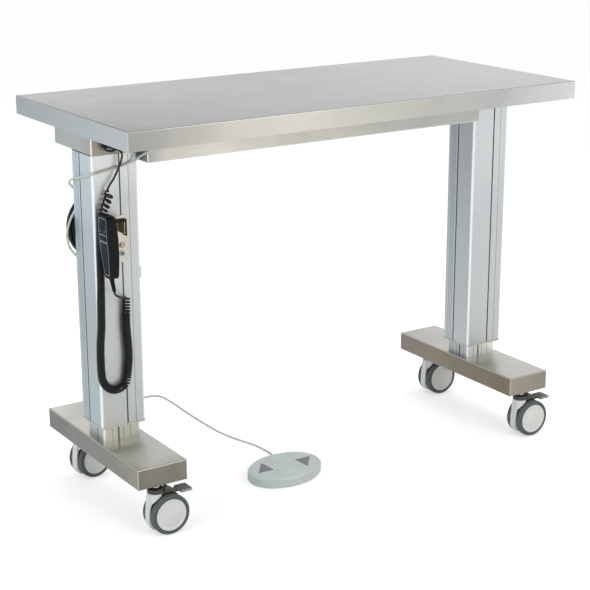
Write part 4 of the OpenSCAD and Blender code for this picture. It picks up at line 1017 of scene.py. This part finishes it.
for side in ("left", "right"):
    bm = bmesh.new()
    for x, y, _, foot in CORNERS.values():
        if foot.startswith(side):
            lathe(bm, STEM_PROFILE, moved_by(x, y, 0), 48)
    dress(link_mesh(side + "_stem_domes", bm, 40), DOME_PAINTED_REFLECTION, side + "_foot", "bright_steel",
          side + "_caster_stems")


# Handset: shells, membrane with its outlines, keys with their marks, and ribbed relief

# The middle of the face's lower end, and how far the face falls back below a height above that end
HAND_AT = Vector((-627, -112.5, 606))
HAND_FALL = 8
HAND_FALL_UP = 99
# Half width of the handset at heights above its lower end
HAND_EDGE = [(5, 16), (54, 22), (94, 24.75), (145, 22)]
# Zones of the face: lowest and highest place, distance from the handset's edge, and cut corner
MEMBRANE = (5, 147.5, 1.9, 3)
OUTLINES = ((107, 145.5, 3.4, 2), (89.5, 106.2, 4.2, 0.8), (8.5, 88.2, 3.6, 2.5))
KEY_HALF_PITCH = 10
KEY_MIDDLE = 114.5
KEY_PROUD = 0.8
MARK = ((-2.6, -2), (2.6, -2), (0, 2.6))
RELIEF_RIBS = 9
face_at = Matrix.Translation(HAND_AT * MM) @ turned_by(-90, "Z") @ turned_by(90, "X")


def hand_half(up):
    """Half the handset's width at a height above its lower end."""
    for (low, low_half), (high, high_half) in zip(HAND_EDGE, HAND_EDGE[1:]):
        if up <= high:
            return low_half + (high_half - low_half) * (max(up, low) - low) / (high - low)
    return HAND_EDGE[-1][1]


def hand_zone(low, high, inset, corner):
    """The outline of a zone of the face between two heights, with its corners cut."""
    ups = [low + corner] + [up for up, _ in HAND_EDGE if low + corner < up < high - corner] + [high - corner]
    side = [(hand_half(up) - inset, up) for up in ups]
    side = [(side[0][0] - corner, low)] + side + [(side[-1][0] - corner, high)]
    return side + [(-half, up) for half, up in reversed(side)]


def lean_back(bm):
    """Folds flat pieces along the line where the handset's face begins to fall back."""
    fold = mm(0, 0, HAND_AT[2] + HAND_FALL_UP)
    cut(bm, fold, (0, 0, 1))
    for vert in bm.verts:
        vert.co.x += max(0.0, fold.z - vert.co.z) * HAND_FALL / HAND_FALL_UP


def shrunk(outline, width):
    """The same outline moved inwards by a width, its corners kept sharp."""
    points = [Vector(p) for p in outline]
    moved = []
    for i, point in enumerate(points):
        into = (point - points[i - 1]).normalized()
        away = (points[(i + 1) % len(points)] - point).normalized()
        inwards = Vector((-into.y - away.y, into.x + away.x)).normalized()
        moved.append(point + inwards * width / max(0.35, inwards.dot(Vector((-into.y, into.x)))))
    return [tuple(p) for p in moved]


def outlined(bm, outline, width, frame_at, height):
    """A closed line of some width round the inside of an outline that runs against the clock."""
    inner = shrunk(outline, width)
    ringed(bm, frame_at, [(outline, 0), (outline, height), (inner, height), (inner, 0)])


refined("handset_front", HAND_BODY, "handset", "handset_face", 1.8, 4)
refined("handset_back", HAND_BODY, "handset", "black_plastic", 1.2, 3)
bm = bmesh.new()
slab(bm, hand_zone(*MEMBRANE), 0.6, face_at @ moved_by(0, 0, -0.3), 0.2)
lean_back(bm)
dress(link_mesh("handset_membrane", bm, 30), HAND_FACE, "handset", "handset_face")
bm = bmesh.new()
for zone in OUTLINES:
    outlined(bm, hand_zone(*zone), 1.2, face_at @ moved_by(0, 0, 0.25), 0.2)
lean_back(bm)
dress(link_mesh("handset_outlines", bm, 30), HAND_LINE, "handset", "handset_face")
for key, sign in (("up", 1), ("down", -1)):
    body = "handset_" + key + "_key"
    refined(body, HAND_FACE, body, "key_face", 0.5, 3)
    bm = bmesh.new()
    mark_at = face_at @ moved_by(-sign * KEY_HALF_PITCH, KEY_MIDDLE, KEY_PROUD - 0.1)
    outlined(bm, [(sign * x, sign * y) for x, y in MARK], 0.7, mark_at, 0.25)
    dress(link_mesh("handset_" + key + "_mark", bm, 30), HAND_LINE, body, "key_face")
bm = bmesh.new()
relief_at = moved_by(-611, -112.5, 615.5) @ turned_by(180 - 10.5, "Y")
for i in range(RELIEF_RIBS):
    up = 13 + 3.6 * i
    r = 5.5 - 1.9 * up / 45
    lathe(bm, [(r - 0.4, up), (r + 0.7, up + 0.2), (r + 0.7, up + 1.7), (r - 0.4, up + 2.0), (r - 0.4, up)],
          relief_at, 28)
dress(link_mesh("handset_relief_ribs", bm, 30), HAND_BODY, "handset", "black_plastic")


# Bracket screws: a pan head with a recess, and a flat head under a cap with a pale ring

OUT_OF_BRACKET = turned_by(90, "X")
UPPER_SCREW = moved_by(-557, -69, 668) @ OUT_OF_BRACKET
LOWER_SCREW = moved_by(-557, -69, 648) @ OUT_OF_BRACKET
PAN_HEAD = [(0, -3.4), (1.6, -3.4), (1.6, 0), (6.9, 0), (7, 1.0), (6.4, 2.3), (4.8, 3.2), (2.9, 3.5),
            (2.5, 3.3), (2.3, 1.8), (0, 1.8)]
FLAT_HEAD = [(0, -3.4), (1.6, -3.4), (1.6, 0), (5.8, 0), (5.8, 1.0), (0, 1.0)]
CAP_RING = [(3.0, 0.9), (6.9, 0.3), (7, 0.9), (6.8, 2.2), (5.8, 3.1), (3.9, 3.1), (3.0, 2.3), (3.0, 0.9)]
CAP_MIDDLE = [(0, 0.9), (2.9, 0.9), (2.9, 1.6), (1.5, 2.0), (0, 1.4)]
bm = bmesh.new()
lathe(bm, PAN_HEAD, UPPER_SCREW, 48)
lathe(bm, FLAT_HEAD, LOWER_SCREW, 48)
dress(link_mesh("bracket_screw_heads", bm, 40), SCREW, "tabletop", "bright_steel", "bracket_screws")
turned_piece("screw_cap_ring", CAP_RING, LOWER_SCREW, 48, CAP_BLUE, "tabletop", "bright_steel")
turned_piece("screw_cap_middle", CAP_MIDDLE, LOWER_SCREW, 32, COLLAR, "tabletop", "bright_steel")


# Glands: a hexagon, a clamping dome, and a tapered relief on the mains cord

def gland(bm, seat, angle, length):
    """A gland on its seat in mm, turned by an angle about X from straight up."""
    at = moved_by(*seat) @ turned_by(angle, "X")
    bmesh.ops.create_cone(bm, cap_ends=True, segments=6, radius1=8 * MM, radius2=8 * MM, depth=3 * MM,
                          matrix=at @ moved_by(0, 0, 1.5))
    lathe(bm, [(2.9, 0.2), (6.6, 0.2), (6.6, 3), (5.5, 3.2), (5.5, length - 2), (4.6, length - 0.4),
               (3.6, length), (2.9, length), (2.9, 0.2)], at, 32)


bm = bmesh.new()
gland(bm, (-592, -66, 910), 90, 10)
gland(bm, (-488, -100, 908), 90, 10)
gland(bm, (-465.5, 53.5, 862), 180, 14)
dress(link_mesh("cord_glands", bm, 30), BLACK, "tabletop", "black_plastic", "cable_glands")

relief_at = moved_by(*MAINS_EXIT) @ turned_by(180, "X")
ribs = [(4.05, 0.1), (7.0, 0.1)]
for i in range(RELIEF_RIBS):
    r = 7.0 - 0.28 * i
    ribs += [(r, 3.2 * i + 0.6), (r, 3.2 * i + 2.0), (r - 0.9, 3.2 * i + 2.4), (r - 0.9, 3.2 * i + 3.2)]
ribs += [(4.4, 31), (4.05, 31), (4.05, 0.1)]
bm = bmesh.new()
lathe(bm, ribs, relief_at, 32)
dress(link_mesh("mains_cord_relief", bm, 30), BLACK, "tabletop", "black_plastic")


# A tie round the coil, low on its right side

TIE_ANGLE = -118
TIE_RADIUS = COIL_RADIUS - COIL_STEP * 1.55
TIE_HALF = 4
tie_x, tie_z = on_arc((0, 0), TIE_RADIUS, TIE_ANGLE)
tie_at = (Matrix.Translation((COIL_AT + Vector((tie_x, COIL_STEP / 2, tie_z))) * MM)
          @ turned_by(-TIE_ANGLE, "Y"))
outer = [(-19, -9.6), (19, -9.6), (20.4, -8), (20.4, 8), (19, 9.6), (-19, 9.6), (-20.4, 8), (-20.4, -8)]
inner = [(x * 0.91, y * 0.86) for x, y in outer]
bm = bmesh.new()
ringed(bm, tie_at, [(outer, -TIE_HALF), (outer, TIE_HALF), (inner, TIE_HALF), (inner, -TIE_HALF)])
dress(link_mesh("coil_tie", bm, 30), BLACK, "tabletop", "black_plastic")


# Foot switch: soft shells, and on each pad an arrow of strips on a paler field

SWITCH_AT = moved_by(-133.5, -113.5, 0)
SWITCH_TURN = 12
SWITCH_TOP = 26
SWITCH_L = 216
SWITCH_W = 162
# The soft step round the pads: distance from the outline, and height
SHOULDER = ((1.6, 21.6), (3.0, 23.0), (5.0, 24.4), (7.0, 25.3), (8.7, 25.7), (8.7, 21.6))
BAR_TURN = math.radians(-15)
BAR_HALF = 28
ARROW = [(-45.8, 41.2), (-86.2, -10.7), (-40, -12.8)]
STRIP_TURN = 19
STRIP_PITCH = 11
STRIP_W = 5.6
STRIP_FIRST = 93
STRIP_REACH = 90


def beside_bar(edge):
    """Edges along the bar between the pads stay crisper than the outer ones."""
    middle = (edge.verts[0].co + edge.verts[1].co) / 2 - SWITCH_AT.translation
    off = abs(middle.x * math.cos(BAR_TURN) + middle.y * math.sin(BAR_TURN)) / MM
    return 0.3 if abs(off - BAR_HALF) < 1 else 1.0


def arrow_strips(bm, corners, low, high):
    """Strips that lie side by side inside a triangle."""
    lie = SWITCH_AT @ turned_by(STRIP_TURN, "Z")
    for i in range(-1, 10):
        in_from_end = STRIP_FIRST - STRIP_PITCH * i
        left = -in_from_end if corners[0][0] < 0 else in_from_end - STRIP_W
        box(bm, (left, -STRIP_REACH, low), (left + STRIP_W, STRIP_REACH, high), lie)
    middle = Vector([sum(c[k] for c in corners) / 3 for k in (0, 1)])
    for a, b in zip(corners, corners[1:] + corners[:1]):
        side = Vector((b[1] - a[1], a[0] - b[0]))
        if side.dot(Vector(a) - middle) < 0:
            side = -side
        cut(bm, SWITCH_AT @ mm(*a, 0), (*side.normalized(), 0), clear_outer=True)


def oval(length, width, steps):
    """Points in mm on an oval of four arcs."""
    end_r = 0.4 * width
    reach = length / 2 - end_r
    side_r = (reach ** 2 + (width / 2) ** 2 - end_r ** 2) / (2 * (width / 2 - end_r))
    turn = math.degrees(math.atan2(side_r - width / 2, reach))
    points = []
    for centre, radius, start, end in (((reach, 0), end_r, -turn, turn),
                                       ((0, width / 2 - side_r), side_r, turn, 180 - turn),
                                       ((-reach, 0), end_r, 180 - turn, 180 + turn),
                                       ((0, side_r - width / 2), side_r, 180 + turn, 360 - turn)):
        points += arc(centre, radius, start, end, steps)[:-1]
    return points


bm = bmesh.new()
ringed(bm, SWITCH_AT @ turned_by(SWITCH_TURN, "Z"),
       [(oval(SWITCH_L - 2 * inset, SWITCH_W - 2 * inset, 24), height) for inset, height in SHOULDER])
dress(link_mesh("foot_switch_shoulder", bm, 40), SWITCH, "left_foot", "switch_plastic")
refined("foot_switch_base", SWITCH, "left_foot", "switch_plastic", 3.0, 5, weigh=beside_bar)
for pad, sign in (("up", 1), ("down", -1)):
    body = "foot_switch_" + pad + "_pad"
    corners = [(-sign * x, -sign * y) for x, y in ARROW]
    refined(body, SWITCH, body, "switch_plastic", 0.8, 3, weigh=beside_bar)
    bm = bmesh.new()
    slab(bm, corners, 0.3, SWITCH_AT @ moved_by(0, 0, SWITCH_TOP - 0.1))
    dress(link_mesh("foot_switch_" + pad + "_field", bm, 30), SWITCH_FIELD, body, "switch_plastic")
    bm = bmesh.new()
    arrow_strips(bm, corners, SWITCH_TOP, SWITCH_TOP + 0.5)
    dress(link_mesh("foot_switch_" + pad + "_strips", bm, 30), SWITCH_MARK, body, "switch_plastic")
